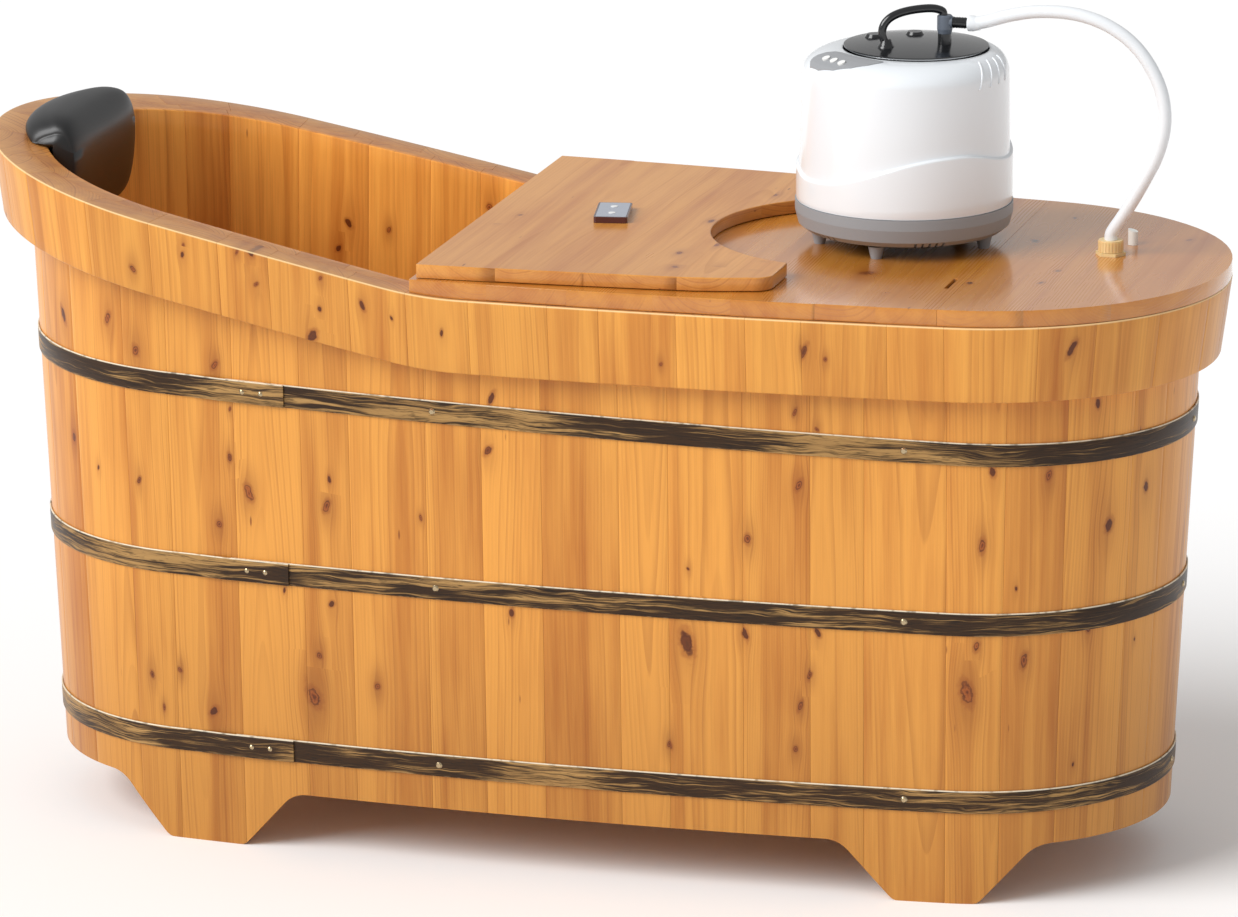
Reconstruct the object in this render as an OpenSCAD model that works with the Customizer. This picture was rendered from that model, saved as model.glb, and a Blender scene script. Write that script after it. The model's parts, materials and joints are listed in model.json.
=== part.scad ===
// Oval soaking tub of upright staves, held by three hoops on four scalloped
// feet, with a raised head end, a two-panel cover, a fold-over neck board,
// a head pillow, a floor drain and a small steam maker that stands on the
// cover and feeds the tub through a hose.
// Head end at -X, foot end at +X, floor at Z = 0, millimetres.

/* [Tub] */
// Length of the rim, measured at the foot end's height
tub_l = 1400; // [1360:10:1440]
// Width of the rim
tub_w = 600; // [590:2:610]
// Radius of the rounded ends
end_r = 280; // [270:2:286]
// Height of the rim at the foot end
rim_z = 664; // [650:2:680]
// Angle at which the rim climbs towards the head
rim_angle = 11; // [9:0.5:12]
// Place along the tub where the rim starts to climb
climb_x = -132; // [-134:1:-130]
// Radius that eases the level rim into the climb
climb_r = 450; // [300:10:500]

/* [Staves] */
// Thickness of a stave
stave_t = 22; // [18:1:26]
// How far the wall leans in for each millimetre down
wall_lean = 0.045; // [0.03:0.005:0.06]
// Staves along each long side
side_staves = 12; // [8:1:16]
// Staves around each end
end_staves = 10; // [7:1:12]
// Open line between two staves
joint_gap = 0.3; // [0.2:0.1:0.5]

/* [Collar] */
// Distance from the rim's outline in to the staves, at the foot end
collar_t = 30; // [26:1:34]
// Height of the collar
collar_h = 85; // [75:1:95]
// How far the collar flares out for each millimetre up
collar_flare = 0.13; // [0.08:0.01:0.15]

/* [Hoops] */
// Height of a hoop
hoop_h = 26; // [20:1:32]
// Thickness of a hoop
hoop_t = 2; // [1.5:0.5:3]
// Height of each hoop's top edge at the middle of the tub
hoop_tops = [131.5, 337.5, 538.5];
// Tilt of each hoop, up towards the head, in degrees
hoop_tilts = [0, 0.23, 1.21];

/* [Feet] */
// Height of the arches between the feet
arch_h = 67; // [50:1:80]
// Middle of the feet near the head
head_foot_x = -411; // [-420:1:-400]
// Middle of the feet near the foot end
tail_foot_x = 430; // [420:1:440]
// Width of a foot where it stands
foot_w = 92; // [70:2:110]
// Slope of a foot's sides
foot_angle = 48; // [40:1:60]

/* [Floor and drain] */
// Underside of the floor boards
floor_z = 92; // [88:1:100]
// Thickness of the floor boards
floor_t = 20; // [16:1:24]
// Depth of the groove that holds the floor
groove_d = 7; // [5:1:9]
// Number of floor boards
floor_board_n = 5; // [4:1:6]
// Place of the drain along the tub
drain_x = 470; // [440:5:480]
// Outer radius of the drain's tail pipe
tail_r = 20; // [16:1:24]

/* [Cover] */
// Thickness of the cover panels
cover_t = 18; // [16:1:20]
// Distance of the cover's edge in from the rim's outline
cover_inset = 5; // [3:1:8]
// How far the cover sits towards the foot end
cover_shift = 4.5; // [0:0.5:4.5]
// Edge of the cover towards the head
cover_x = -146; // [-148:1:-144]
// Line between the main panel and the foot panel
seam_x = 438; // [436:1:444]

/* [Neck board] */
// Thickness of the neck board
board_t = 15; // [13:1:16]
// Free end of the folded neck board
board_end_x = 246; // [230:1:250]
// Radius of the neck cut-out
neck_r = 178; // [160:1:185]
// How far the neck cut-out's centre lies past the free end
neck_out = 53; // [45:1:60]
// Angle through which the neck board opens
board_open = 168.6; // [150:0.1:168.6]

/* [Steam maker] */
// Place of the steam maker along the tub
steam_x = 326.5; // [320:0.5:330]
// Place of the steam maker across the tub
steam_y = 37; // [30:1:45]
// Radius of the housing at its shoulder
body_r = 115; // [110:1:118]
// Radius of the skirt and the base
skirt_r = 120; // [118:1:124]
// Height from the cover to the lid's seat
lid_z = 217; // [210:1:225]
// Radius of the lid
lid_r = 80; // [76:1:82]

/* [Hose] */
// Outer diameter of the hose
hose_d = 14.5; // [12:0.5:16]
// Place of the hose fitting along the tub
fit_x = 562.5; // [555:0.5:565]
// Place of the hose fitting across the tub
fit_y = 29.5; // [25:0.5:35]

/* [Hidden] */

// Outline of the rim: two end arcs and two long side arcs, tangent to each other
end_c = tub_l / 2 - end_r;
half_w = tub_w / 2;
side_r = (end_c * end_c + half_w * half_w - end_r * end_r) / (2 * (half_w - end_r));
side_c = side_r - half_w;
join_a = atan2(side_c, end_c);

// The head end flares past the outline; this shift centres the whole tub on X = 0
flare_climb = collar_flare * tan(rim_angle);
head_flare = flare_climb * (tub_l / 2 + climb_x) / (1 - flare_climb);
centre_x = head_flare / 2;

far = 900;
fit_gap = 0.3;
cover_z = rim_z + 0.5;
cover_top = cover_z + cover_t;
board_z = cover_top + 0.7;
hinge_z = cover_top + 0.5;
hinge_y = 170;
hinge_l = 36;
knuckle_r = 2.8;
pin_r = 1.5;
leaf_t = 1.2;
leaf_w = 26;
wall_gap = 0.2;
screw_r = 1.75;
top_z = rim_z + 170;
groove_top = floor_z + floor_t + 0.4;

// Insets of the wall's and the collar's faces from the rim's outline, at height z
function wall_out(z) = collar_t + wall_lean * (rim_z - z);
function wall_in(z) = wall_out(z) + stave_t;
function collar_out(z) = collar_flare * (rim_z - z);

function sum(v, n) = n == 0 ? 0 : v[n - 1] + sum(v, n - 1);
function arc_points(cx, cy, r, a0, a1, n) =
    [for (i = [0:n]) let (a = a0 + (a1 - a0) * i / n) [cx + r * cos(a), cy + r * sin(a)]];
function inner(v) = [for (i = [1:len(v) - 2]) v[i]];

// Points of the outline, moved in by inset
function oval_points(inset) = concat(
    arc_points(end_c, 0, end_r - inset, -join_a, join_a, 36),
    inner(arc_points(0, -side_c, side_r - inset, join_a, 180 - join_a, 12)),
    arc_points(-end_c, 0, end_r - inset, 180 - join_a, 180 + join_a, 36),
    inner(arc_points(0, side_c, side_r - inset, 180 + join_a, 360 - join_a, 12)));

// Half the width of the outline at x, moved in by inset
function half_width(x, inset) = abs(x) < end_c + end_r * cos(join_a)
    ? sqrt(pow(side_r - inset, 2) - x * x) - side_c
    : sqrt(pow(end_r - inset, 2) - pow(abs(x) - end_c, 2));

// Centre, radius and angles of each of the four arcs
function arc_of(part) =
    part == "foot" ? [end_c, 0, end_r, -join_a, join_a] :
    part == "head" ? [-end_c, 0, end_r, 180 - join_a, 180 + join_a] :
    part == "back" ? [0, -side_c, side_r, join_a, 180 - join_a] :
    [0, side_c, side_r, 180 + join_a, 360 - join_a];

// The rim's line seen from the side, from the foot end to the head
ease_run = climb_r * tan(rim_angle / 2);
function rim_line(x) = rim_z + max(0, (climb_x - x) * tan(rim_angle));
rim_points = concat([[far, rim_z]],
    arc_points(climb_x + ease_run, rim_z + climb_r, climb_r, 270, 270 - rim_angle, 6),
    [[-far, rim_line(-far)]]);

module place() translate([centre_x, 0, 0]) children();
module across() rotate([90, 0, 0]) linear_extrude(height = far, center = true) children();
module above_rim() across() polygon(concat(rim_points, [[-far, far], [far, far]]));
module below_collar() across()
    polygon(concat([for (p = rim_points) p - [0, collar_h]], [[-far, 200], [far, 200]]));

// One side of a foot, from the arch down to the floor; dir is +1 or -1
arch_ease_r = 35;
toe_r = 12;
function foot_side(x, dir) = let (
        base = foot_w / 2,
        top = base + arch_h / tan(foot_angle),
        t = arch_ease_r * tan(foot_angle / 2),
        b = toe_r * tan(foot_angle / 2),
        pts = concat(
            arc_points(top + t, arch_h - arch_ease_r, arch_ease_r, 90, 90 + foot_angle, 6),
            arc_points(base - b, toe_r, toe_r, foot_angle - 90, -90, 4)))
    [for (p = pts) [x + dir * p[0], p[1]]];
function flip(v) = [for (i = [len(v) - 1:-1:0]) v[i]];

module below_arches() across() {
    polygon(concat(foot_side(head_foot_x, 1), [[head_foot_x + foot_w / 2 - 8, -60],
        [tail_foot_x - foot_w / 2 + 8, -60]], flip(foot_side(tail_foot_x, -1))));
    polygon(concat([[-far, arch_h]], foot_side(head_foot_x, -1),
        [[head_foot_x - foot_w / 2 + 8, -60], [-far, -60]]));
    polygon(concat([[far, arch_h]], foot_side(tail_foot_x, 1),
        [[tail_foot_x + foot_w / 2 - 8, -60], [far, -60]]));
}

// A row of planks around one arc; their widths vary as sawn timber does
module plank_row(part, count, seed) {
    a = arc_of(part);
    $plank_r = a[2];
    w = [for (i = [0:count - 1]) 1 + 0.24 * sin(seed + 137 * i)];
    total = sum(w, count);
    gap_a = joint_gap / 2 / a[2] * 180 / PI;
    for (i = [0:count - 1])
        translate([a[0], a[1], 0])
            rotate([0, 0, a[3] + (a[4] - a[3]) * sum(w, i) / total + gap_a])
                rotate_extrude(angle = (a[4] - a[3]) * w[i] / total - 2 * gap_a, $fn = 96)
                    children();
}

module stave_section() {
    r = $plank_r;
    polygon([[r - wall_out(0), 0], [r - wall_out(top_z), top_z], [r - wall_in(top_z), top_z],
        [r - wall_in(groove_top), groove_top], [r - wall_in(groove_top) + groove_d, groove_top],
        [r - wall_in(floor_z) + groove_d, floor_z], [r - wall_in(floor_z), floor_z],
        [r - wall_in(0), 0]]);
}

module collar_section() {
    r = $plank_r;
    low = rim_z - collar_h - 20;
    polygon([[r - collar_out(low), low], [r - collar_out(top_z), top_z],
        [r - wall_out(top_z) + wall_gap, top_z], [r - wall_out(low) + wall_gap, low]]);
}

// Screws that pin the hoops: [arc, place along a side or angle around an end]
hoop_screw_spots = [["front", 397], ["front", -130], ["back", 397], ["back", -130],
    ["foot", 0], ["head", 180]];
// Rivets of the hoops' overlaps, near the head on the front side
hoop_rivet_xs = [-352, -330];

function hoop_mid(i, x) = hoop_tops[i] - hoop_h / 2 - x * tan(hoop_tilts[i]);

// Stands on a hoop's outer face at a spot, with +Z square to the leaning, curved wall
module on_wall(part, at, i) {
    out = hoop_t + hoop_gap;
    lean = 90 + atan(wall_lean);
    if (part == "front" || part == "back") {
        s = part == "front" ? -1 : 1;
        z = hoop_mid(i, at);
        translate([at, s * half_width(at, wall_out(z) - out), z])
            rotate([0, 0, -s * asin(at / side_r)])
                rotate([-s * lean, 0, 0])
                    children();
    } else {
        s = part == "head" ? -1 : 1;
        z = hoop_mid(i, s * tub_l / 2);
        translate([s * (end_c + end_r - wall_out(z) + out), 0, z])
            rotate([0, s * lean, 0])
                children();
    }
}

module hoop_screw_holes(part)
    for (i = [0:2]) for (spot = hoop_screw_spots) if (part == "all" || part == spot[0])
        on_wall(spot[0], spot[1], i) translate([0, 0, -18]) cylinder(r = screw_r + 0.1, h = 22, $fn = 16);

module staves(part, count, seed) color("#d8953f") place() difference() {
    plank_row(part, count, seed) stave_section();
    above_rim();
    below_arches();
    hoop_screw_holes(part);
}
module staves_front() staves("front", side_staves, 20);
module staves_back() staves("back", side_staves, 75);
module staves_head() staves("head", end_staves, 130);
module staves_foot() staves("foot", end_staves, 210);

module collar(part, count, seed) color("#dd9b46") place() difference() {
    plank_row(part, count, seed) collar_section();
    above_rim();
    below_collar();
}
module collar_front() collar("front", side_staves, 160);
module collar_back() collar("back", side_staves, 240);
module collar_head() collar("head", end_staves, 35);
module collar_foot() collar("foot", end_staves, 95);

// A hoop is one strip of metal; its ends lap and are riveted near the head, on the front side
lap_x = -375;
lap_l = 70;
lap_ramp = 45;
hoop_gap = wall_gap + 0.05;
function side_a(x) = 270 + asin(x / side_r);
function walk(part, a0, a1, n) = let (a = arc_of(part))
    [for (i = [1:n]) [a[0], a[1], a[2], a0 + (a1 - a0) * i / n]];
hoop_walk = concat([[0, side_c, side_r, side_a(lap_x)]],
    walk("front", side_a(lap_x), 360 - join_a, 20), walk("foot", -join_a, join_a, 40),
    walk("back", join_a, 180 - join_a, 22), walk("head", 180 - join_a, 180 + join_a, 40),
    walk("front", 180 + join_a, side_a(lap_x + lap_l), 7));
// Height by which the strip's last stretch rises over its first
function lap_lift(k, x) = k < len(hoop_walk) - 7 ? 0
    : (hoop_t + 0.1) * min(1, max(0, (x - lap_x + lap_ramp) / (lap_ramp - 5)));
function hoop_ring(i, k) = let (w = hoop_walk[k], d = [cos(w[3]), sin(w[3])],
        x = w[0] + (w[2] - wall_out(hoop_tops[i])) * d[0],
        top = hoop_tops[i] - x * tan(hoop_tilts[i]), lift = hoop_gap + lap_lift(k, x))
    [for (q = [[0, -hoop_h], [hoop_t, -hoop_h], [hoop_t, 0], [0, 0]])
        let (r = w[2] - wall_out(top + q[1]) + lift + q[0]) [w[0] + r * d[0], w[1] + r * d[1], top + q[1]]];
module hoop(i) color("#3a3027") place() difference() {
    skin([for (k = [0:len(hoop_walk) - 1]) hoop_ring(i, k)]);
    hoop_screw_holes("all");
}
module hoop_bottom() hoop(0);
module hoop_middle() hoop(1);
module hoop_top() hoop(2);

// Closed solid through a row of equal rings
module skin(rings) {
    n = len(rings[0]);
    k = len(rings);
    polyhedron(points = [for (r = rings) for (p = r) p], faces = concat(
        [for (i = [0:k - 2]) for (j = [0:n - 1]) let (m = (j + 1) % n)
            each [[i * n + j, i * n + m, (i + 1) * n + j], [i * n + m, (i + 1) * n + m, (i + 1) * n + j]]],
        [for (j = [1:n - 2]) [0, j + 1, j]],
        [for (j = [1:n - 2]) let (b = (k - 1) * n) [b, b + j, b + j + 1]]));
}

module hoop_screws() color("#c9b27c") place()
    for (i = [0:2]) for (spot = hoop_screw_spots) on_wall(spot[0], spot[1], i) {
        translate([0, 0, -16]) cylinder(r = screw_r, h = 17, $fn = 16);
        translate([0, 0, 0.06]) cylinder(r1 = 3.8, r2 = 2.4, h = 1.5, $fn = 24);
    }
module hoop_rivets() color("#6a5b3c") place()
    for (i = [0:2]) for (x = hoop_rivet_xs) on_wall("front", x, i)
        translate([0, 0, hoop_t + 0.15]) cylinder(r1 = 2.8, r2 = 1.4, h = 1.2, $fn = 24);

// Floor: boards in the staves' groove, on three battens
batten_xs = [-330, 0, 330];
batten_w = 40;
batten_h = 23.5;
drain_r = 22;
module floor_boards() color("#cf9a55") place() difference() {
    intersection() {
        translate([0, 0, floor_z]) linear_extrude(height = floor_t)
            polygon(oval_points(wall_in(floor_z + floor_t / 2) - groove_d + 0.5));
        union() {
            w = 2 * (half_w - wall_in(floor_z) + groove_d) / floor_board_n;
            for (i = [0:floor_board_n - 1])
                translate([-far, (i - floor_board_n / 2) * w + joint_gap / 2, floor_z - 5])
                    cube([2 * far, w - joint_gap, floor_t + 10]);
        }
    }
    translate([drain_x, 0, 0]) cylinder(r = drain_r + fit_gap, h = rim_z, $fn = 48);
    floor_screw_spots() cylinder(r = 1.9, h = floor_z + 15, $fn = 16);
}
module floor_battens() color("#b98347") place() difference() {
    for (x = batten_xs) {
        l = half_width(abs(x) + batten_w / 2, wall_in(floor_z - batten_h)) - 1;
        translate([x - batten_w / 2, -l, floor_z - 0.2 - batten_h]) cube([batten_w, 2 * l, batten_h]);
    }
    floor_screw_spots() {
        cylinder(r = 1.9, h = floor_z + 15, $fn = 16);
        cylinder(r = 4, h = floor_z - batten_h + 2.6, $fn = 24);
    }
}
module floor_screw_spots() for (x = batten_xs) for (y = [-150, -75, 75, 150]) translate([x, y, 0]) children();
module floor_screws() color("#b9bcc0") place() floor_screw_spots() translate([0, 0, floor_z - batten_h]) {
    translate([0, 0, 0.4]) cylinder(r = 3.6, h = 2, $fn = 24);
    translate([0, 0, 2.4]) cylinder(r = screw_r, h = batten_h + 10, $fn = 16);
}

module at_drain() place() translate([drain_x, 0, 0]) children();
module ring(ro, ri, z0, z1, n = 48) rotate_extrude($fn = n) translate([ri, z0]) square([ro - ri, z1 - z0]);
floor_top = floor_z + floor_t;
// The stopper's cone stands on the flange's seat, which slopes at 45 degrees
seat_r = 23;
seat_h = 4.5;
seat_gap = 0.5;
module drain_flange() color("#c8ccd0") at_drain() rotate_extrude($fn = 64)
    polygon([[17, 66], [drain_r, 66], [drain_r, floor_top + 1.6], [36, floor_top + 1.6],
        [36, floor_top + 2.6], [30, floor_top + 4], [seat_r, floor_top + 4],
        [seat_r - seat_h, floor_top + 4 - seat_h], [17, floor_top - 4]]);
module drain_gasket() color("#2b2b2b") at_drain() ring(35, drain_r + 0.1, floor_top + 0.1, floor_top + 1.5);
module drain_locknut() color("#c8ccd0") at_drain() difference() {
    translate([0, 0, floor_z - 12.2]) cylinder(r = 33, h = 12, $fn = 6);
    cylinder(r = drain_r + 0.1, h = floor_z + 1, $fn = 48);
}
module drain_tail() color("#e6e6e2") at_drain() {
    ring(tail_r, tail_r - 2.5, 34, 65.9);
    ring(27, tail_r - 2.5, 58, 65.9);
}
module drain_stopper() color("#26282b") at_drain() rotate_extrude($fn = 48)
    polygon([[0, floor_top + 4 - seat_h], [seat_r - seat_h - seat_gap, floor_top + 4 - seat_h],
        [seat_r - seat_gap, floor_top + 4], [seat_r - seat_gap, floor_top + 6.4],
        [8, floor_top + 7.6], [6, floor_top + 10], [8, floor_top + 17], [6, floor_top + 20],
        [0, floor_top + 20.6]]);

// Pillow: a pad that hangs inside the head end, with a lip over the rim.
// Its section is drawn from the rim's inner edge: [into the tub, up]
pillow_w = 210;
// x of the pad's front, which runs straight across the tub
pillow_front = -595;
pillow_outline = [[1.5, -84], [1.5, -44], [1.5, -2], [-14, 4.2], [-23, 7], [-28, 12.5], [-22, 21],
    [-7, 28.5], [16, 33], [40, 28], [55, 8], [58, -20], [53, -55], [42, -85], [25, -101], [8, -99]];
pillow_rows = 18;
// Room between the pad and the wood that it hangs on
rest_gap = 1.5;
// Points of the section above this lie on the rim, and those below hang beside the wall
lip_from = -10;
// Both ends are rounded: the section shrinks to this share of itself about its middle
pillow_end = 0.74;
pillow_mid = [8, -28];
// A point of the section from which all of its outline can be seen
pillow_heart = [6, 6];
function spline(p0, p1, p2, p3, t) = 0.5 * (2 * p1 + (p2 - p0) * t
    + (2 * p0 - 5 * p1 + 4 * p2 - p3) * t * t + (3 * p1 - p0 - 3 * p2 + p3) * t * t * t);
function smooth_loop(v, k) = let (n = len(v)) [for (i = [0:n - 1]) for (j = [0:k - 1])
    spline(v[(i + n - 1) % n], v[i], v[(i + 1) % n], v[(i + 2) % n], j / k)];
function wall_x(y, z) = -end_c - sqrt(pow(end_r - wall_in(z), 2) - y * y);
// s runs from -1 to 1 across the pillow; the pad is fullest in the middle
function pillow_y(s) = pillow_w / 2 * sin(90 * s);
function pillow_full(s) = pow(max(0, 1 - pow(abs(sin(90 * s)), 7)), 0.5);
function pillow_ring(s) = let (y = pillow_y(s), x0 = wall_x(y, rim_z + 60), z0 = rim_line(x0),
        share = pillow_end + (1 - pillow_end) * pillow_full(s),
        deep = (pillow_front - x0) / (pillow_front - wall_x(0, rim_z + 60)))
    [for (p = smooth_loop(pillow_outline, 2)) let (
            u = pillow_mid[0] + (p[0] * (p[0] > 0 ? deep : 1) - pillow_mid[0]) * share,
            v = pillow_mid[1] + (p[1] - pillow_mid[1]) * share,
            lies = rim_line(x0 + u) - z0 + rest_gap,
            hangs = rest_gap - wall_lean * v)
        v >= lies ? [x0 + u, y, z0 + v]
        : p[1] > lip_from ? [x0 + u, y, z0 + lies]
        : [x0 + max(u, hangs), y, z0 + v]];
function pillow_tip(s) = let (x0 = wall_x(pillow_y(s), rim_z + 60))
    [x0 + pillow_heart[0], pillow_y(s), rim_line(x0) + pillow_heart[1]];
module pillow() color("#2a2a2c") place() {
    m = 2 * len(pillow_outline);
    last = 0.97;
    rows = [for (i = [0:pillow_rows]) pillow_ring(last * (2 * i / pillow_rows - 1))];
    ends = [pillow_tip(-last), pillow_tip(last)];
    pts = concat([for (r = rows) for (p = r) p], ends);
    n = m * (pillow_rows + 1);
    polyhedron(points = pts, faces = concat(
        [for (i = [0:pillow_rows - 1]) for (j = [0:m - 1]) let (k = (j + 1) % m)
            each [[i * m + j, (i + 1) * m + j, i * m + k], [i * m + k, (i + 1) * m + j, (i + 1) * m + k]]],
        [for (j = [0:m - 1]) [n, j, (j + 1) % m]],
        [for (j = [0:m - 1]) [n + 1, n - m + (j + 1) % m, n - m + j]]));
}

// Cover: two edge-glued panels on the rim, tied by two battens that drop inside it
module cover_sheet(x0, x1) intersection() {
    translate([cover_shift, 0, cover_z]) linear_extrude(height = cover_t)
        polygon(oval_points(cover_inset));
    translate([x0, -far / 2, cover_z - 1]) cube([x1 - x0, far, cover_t + 2]);
}
cover_batten_y = 140;
cover_batten_w = 34;
cover_batten_h = 20;
cover_batten_l = 690;
cover_screw_xs = [-70, 120, 300, 420, 480, 540];
module cover_screw_spots() for (x = cover_screw_xs) for (s = [-1, 1])
    translate([x, s * cover_batten_y, cover_z - cover_batten_h]) children();
module at_hinges() for (s = [-1, 1]) translate([cover_x, s * hinge_y, hinge_z]) children();

leaf_z = -0.5;
// Its underside is eased where the rim starts to climb
// A finger slot beside the seam, by which the foot end of the main panel is picked up
slot_at = [425, -152.5];
slot_w = 5;
slot_l = 49;
slot_depth = 8;
module cover_main_panel() color("#c98544") place() difference() {
    cover_sheet(cover_x, seam_x - joint_gap / 2);
    translate([slot_at[0] - slot_w / 2, slot_at[1] - slot_l / 2, cover_top - slot_depth])
        cube([slot_w, slot_l, slot_depth + 1]);
    translate([0, 0, 0.45]) across() polygon(concat(rim_points, [[-far, 0], [far, 0]]));
    at_hinges() {
        rotate([90, 0, 0]) cylinder(r = knuckle_r + 0.6, h = hinge_l + 1, center = true, $fn = 32);
        translate([0, -hinge_l / 2 - 0.5, leaf_z - leaf_t - 0.1]) cube([leaf_w + 0.5, hinge_l + 1, 8]);
        leaf_screws() translate([0, 0, -12]) cylinder(r = pilot_r, h = 14, $fn = 16);
    }
    cover_screw_spots() cylinder(r = screw_r + 0.1, h = cover_batten_h + 12, $fn = 16);
}
module cover_foot_panel() color("#c98544") place() difference() {
    cover_sheet(seam_x + joint_gap / 2, far);
    translate([fit_x, fit_y, cover_z - 1]) cylinder(r = 11.3, h = cover_t + 2, $fn = 48);
    translate([plug_x, plug_y, cover_z - 1]) cylinder(r = 4.2, h = cover_t + 2, $fn = 32);
    cover_screw_spots() cylinder(r = screw_r + 0.1, h = cover_batten_h + 12, $fn = 16);
}
module cover_battens() color("#b98347") place() difference() {
    for (s = [-1, 1]) translate([cover_x + 20, s * cover_batten_y - cover_batten_w / 2,
        cover_z - 0.2 - cover_batten_h]) cube([cover_batten_l, cover_batten_w, cover_batten_h]);
    cover_screw_spots() {
        translate([0, 0, -1]) cylinder(r = screw_r + 0.1, h = cover_batten_h + 2, $fn = 16);
        translate([0, 0, -1]) cylinder(r = 3.9, h = 3.6, $fn = 24);
    }
}
module cover_screws() color("#b9bcc0") place() cover_screw_spots() {
    translate([0, 0, 0.5]) cylinder(r = 3.6, h = 2, $fn = 24);
    translate([0, 0, 2.5]) cylinder(r = screw_r, h = cover_batten_h + 7, $fn = 16);
}

// Neck board: lies folded on the cover; unfolded it rests on the climbing rim.
// Its sides follow the rim's outline, mirrored about the hinge line
board_x = cover_x + 6;
board_inset = 12;
prong_r = 22;
function board_y(x) = half_width(2 * cover_x - x, board_inset);
function board_side(s) = [for (i = [0:12]) let (x = board_x + (board_end_x - prong_r - board_x) * i / 12)
    [x, s * board_y(x)]];
module board_outline() difference() {
    union() {
        polygon(concat(board_side(-1), flip(board_side(1))));
        for (s = [-1, 1]) {
            y = board_y(board_end_x - prong_r) - prong_r;
            translate([board_end_x - prong_r, s * y]) circle(r = prong_r, $fn = 48);
            translate([board_end_x - prong_r - 1, s < 0 ? -y : 60]) square([prong_r + 1, y - 60]);
        }
    }
    translate([board_end_x + neck_out, 0]) circle(r = neck_r, $fn = 120);
}
module neck_board() color("#d9a468") place() difference() {
    translate([0, 0, board_z]) linear_extrude(height = board_t) board_outline();
    at_hinges() translate([0, -hinge_l / 2 - 0.5, -1]) cube([leaf_w + 0.5, hinge_l + 1, leaf_t + 1.5]);
    at_hinges() leaf_screws() translate([0, 0, -2]) cylinder(r = pilot_r, h = 12, $fn = 16);
}

// Butt hinges at the boards' edge, let into both faces
module leaf_screws() for (x = [10, 20]) for (y = [-11, 11]) translate([x, y, 0]) children();
module knuckle(y0, y1) difference() {
    translate([0, y1, 0]) rotate([90, 0, 0]) cylinder(r = knuckle_r, h = y1 - y0, $fn = 48);
    translate([0, y1 + 1, 0]) rotate([90, 0, 0]) cylinder(r = pin_r + 0.05, h = y1 - y0 + 2, $fn = 48);
}
module leaf_plate(z0, y0, y1) difference() {
    translate([0, y0, z0]) cube([leaf_w, y1 - y0, leaf_t]);
    rotate([90, 0, 0]) cylinder(r = knuckle_r - 0.4, h = 100, center = true, $fn = 48);
}
// A countersunk screw whose head is level with Z = 0, grown all round by the given margin
pilot_r = 1.3;
module leaf_screw(grow) {
    translate([0, 0, -8]) cylinder(r = pilot_r - 0.15 + grow, h = 7.2, $fn = 16);
    translate([0, 0, -0.95 - grow])
        cylinder(r1 = pilot_r - 0.15 + grow, r2 = 2.2 + 3 * grow, h = 0.9 + 2 * grow, $fn = 24);
}
third = hinge_l / 6;
leaf_up = 0.25;
module hinge_fixed_leaves() color("#c2a25a") place() at_hinges() {
    difference() {
        leaf_plate(leaf_z - leaf_t, -hinge_l / 2, hinge_l / 2);
        translate([-1, -third - 0.2, -5]) cube([knuckle_r + 1.8, 2 * third + 0.4, 8]);
        leaf_screws() translate([0, 0, leaf_z]) leaf_screw(0.1);
    }
    knuckle(-hinge_l / 2, -third - 0.2);
    knuckle(third + 0.2, hinge_l / 2);
}
module hinge_moving_leaves() color("#c2a25a") place() at_hinges() {
    difference() {
        leaf_plate(leaf_up, -hinge_l / 2, hinge_l / 2);
        for (s = [-1, 1]) translate([-1, s > 0 ? third : -hinge_l / 2 - 1, -2])
            cube([knuckle_r + 2, hinge_l / 2 - third + 1, 8]);
        leaf_screws() translate([0, 0, leaf_up]) mirror([0, 0, 1]) leaf_screw(0.1);
    }
    knuckle(-third + 0.1, third - 0.1);
}
module hinge_fixed_screws() color("#d9c07c") place() at_hinges() leaf_screws()
    translate([0, 0, leaf_z]) leaf_screw(0);
module hinge_moving_screws() color("#d9c07c") place() at_hinges() leaf_screws()
    translate([0, 0, leaf_up]) mirror([0, 0, 1]) leaf_screw(0);
module hinge_pins() color("#d9c07c") place() at_hinges() rotate([90, 0, 0])
    cylinder(r = pin_r, h = hinge_l + 1, center = true, $fn = 32);

// Hose fitting: a flanged socket through the cover, its locknut, and the hose's nut
module at_fitting() place() translate([fit_x, fit_y, cover_top]) children();
module steam_socket() color("#efe3bd") at_fitting() difference() {
    union() {
        translate([0, 0, 0.1]) cylinder(r = 17, h = 3.6, $fn = 6);
        translate([0, 0, -cover_t - 22]) cylinder(r = 11, h = cover_t + 24, $fn = 48);
        cylinder(r = 9.6, h = 12, $fn = 48);
    }
    translate([0, 0, -60]) cylinder(r = 6, h = 90, $fn = 48);
}
module socket_locknut() color("#efe3bd") at_fitting() difference() {
    translate([0, 0, -cover_t - 9]) cylinder(r = 17, h = 8.8, $fn = 6);
    translate([0, 0, -cover_t - 10]) cylinder(r = 11.1, h = 12, $fn = 48);
}
nut_top = 17;
module hose_nut() color("#f1e6c2") at_fitting() difference() {
    union() {
        translate([0, 0, 4]) cylinder(r = 13.4, h = nut_top - 4, $fn = 96);
        for (i = [0:23]) rotate([0, 0, i * 15]) translate([13.2, -0.8, 4.6]) cube([0.8, 1.6, nut_top - 5.8]);
    }
    translate([0, 0, 3]) cylinder(r = 9.6 + fit_gap, h = 10, $fn = 48);
    cylinder(r = 5, h = 40, $fn = 48);
}
plug_x = 576;
plug_y = 84;
plug_slant = 16;
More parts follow.
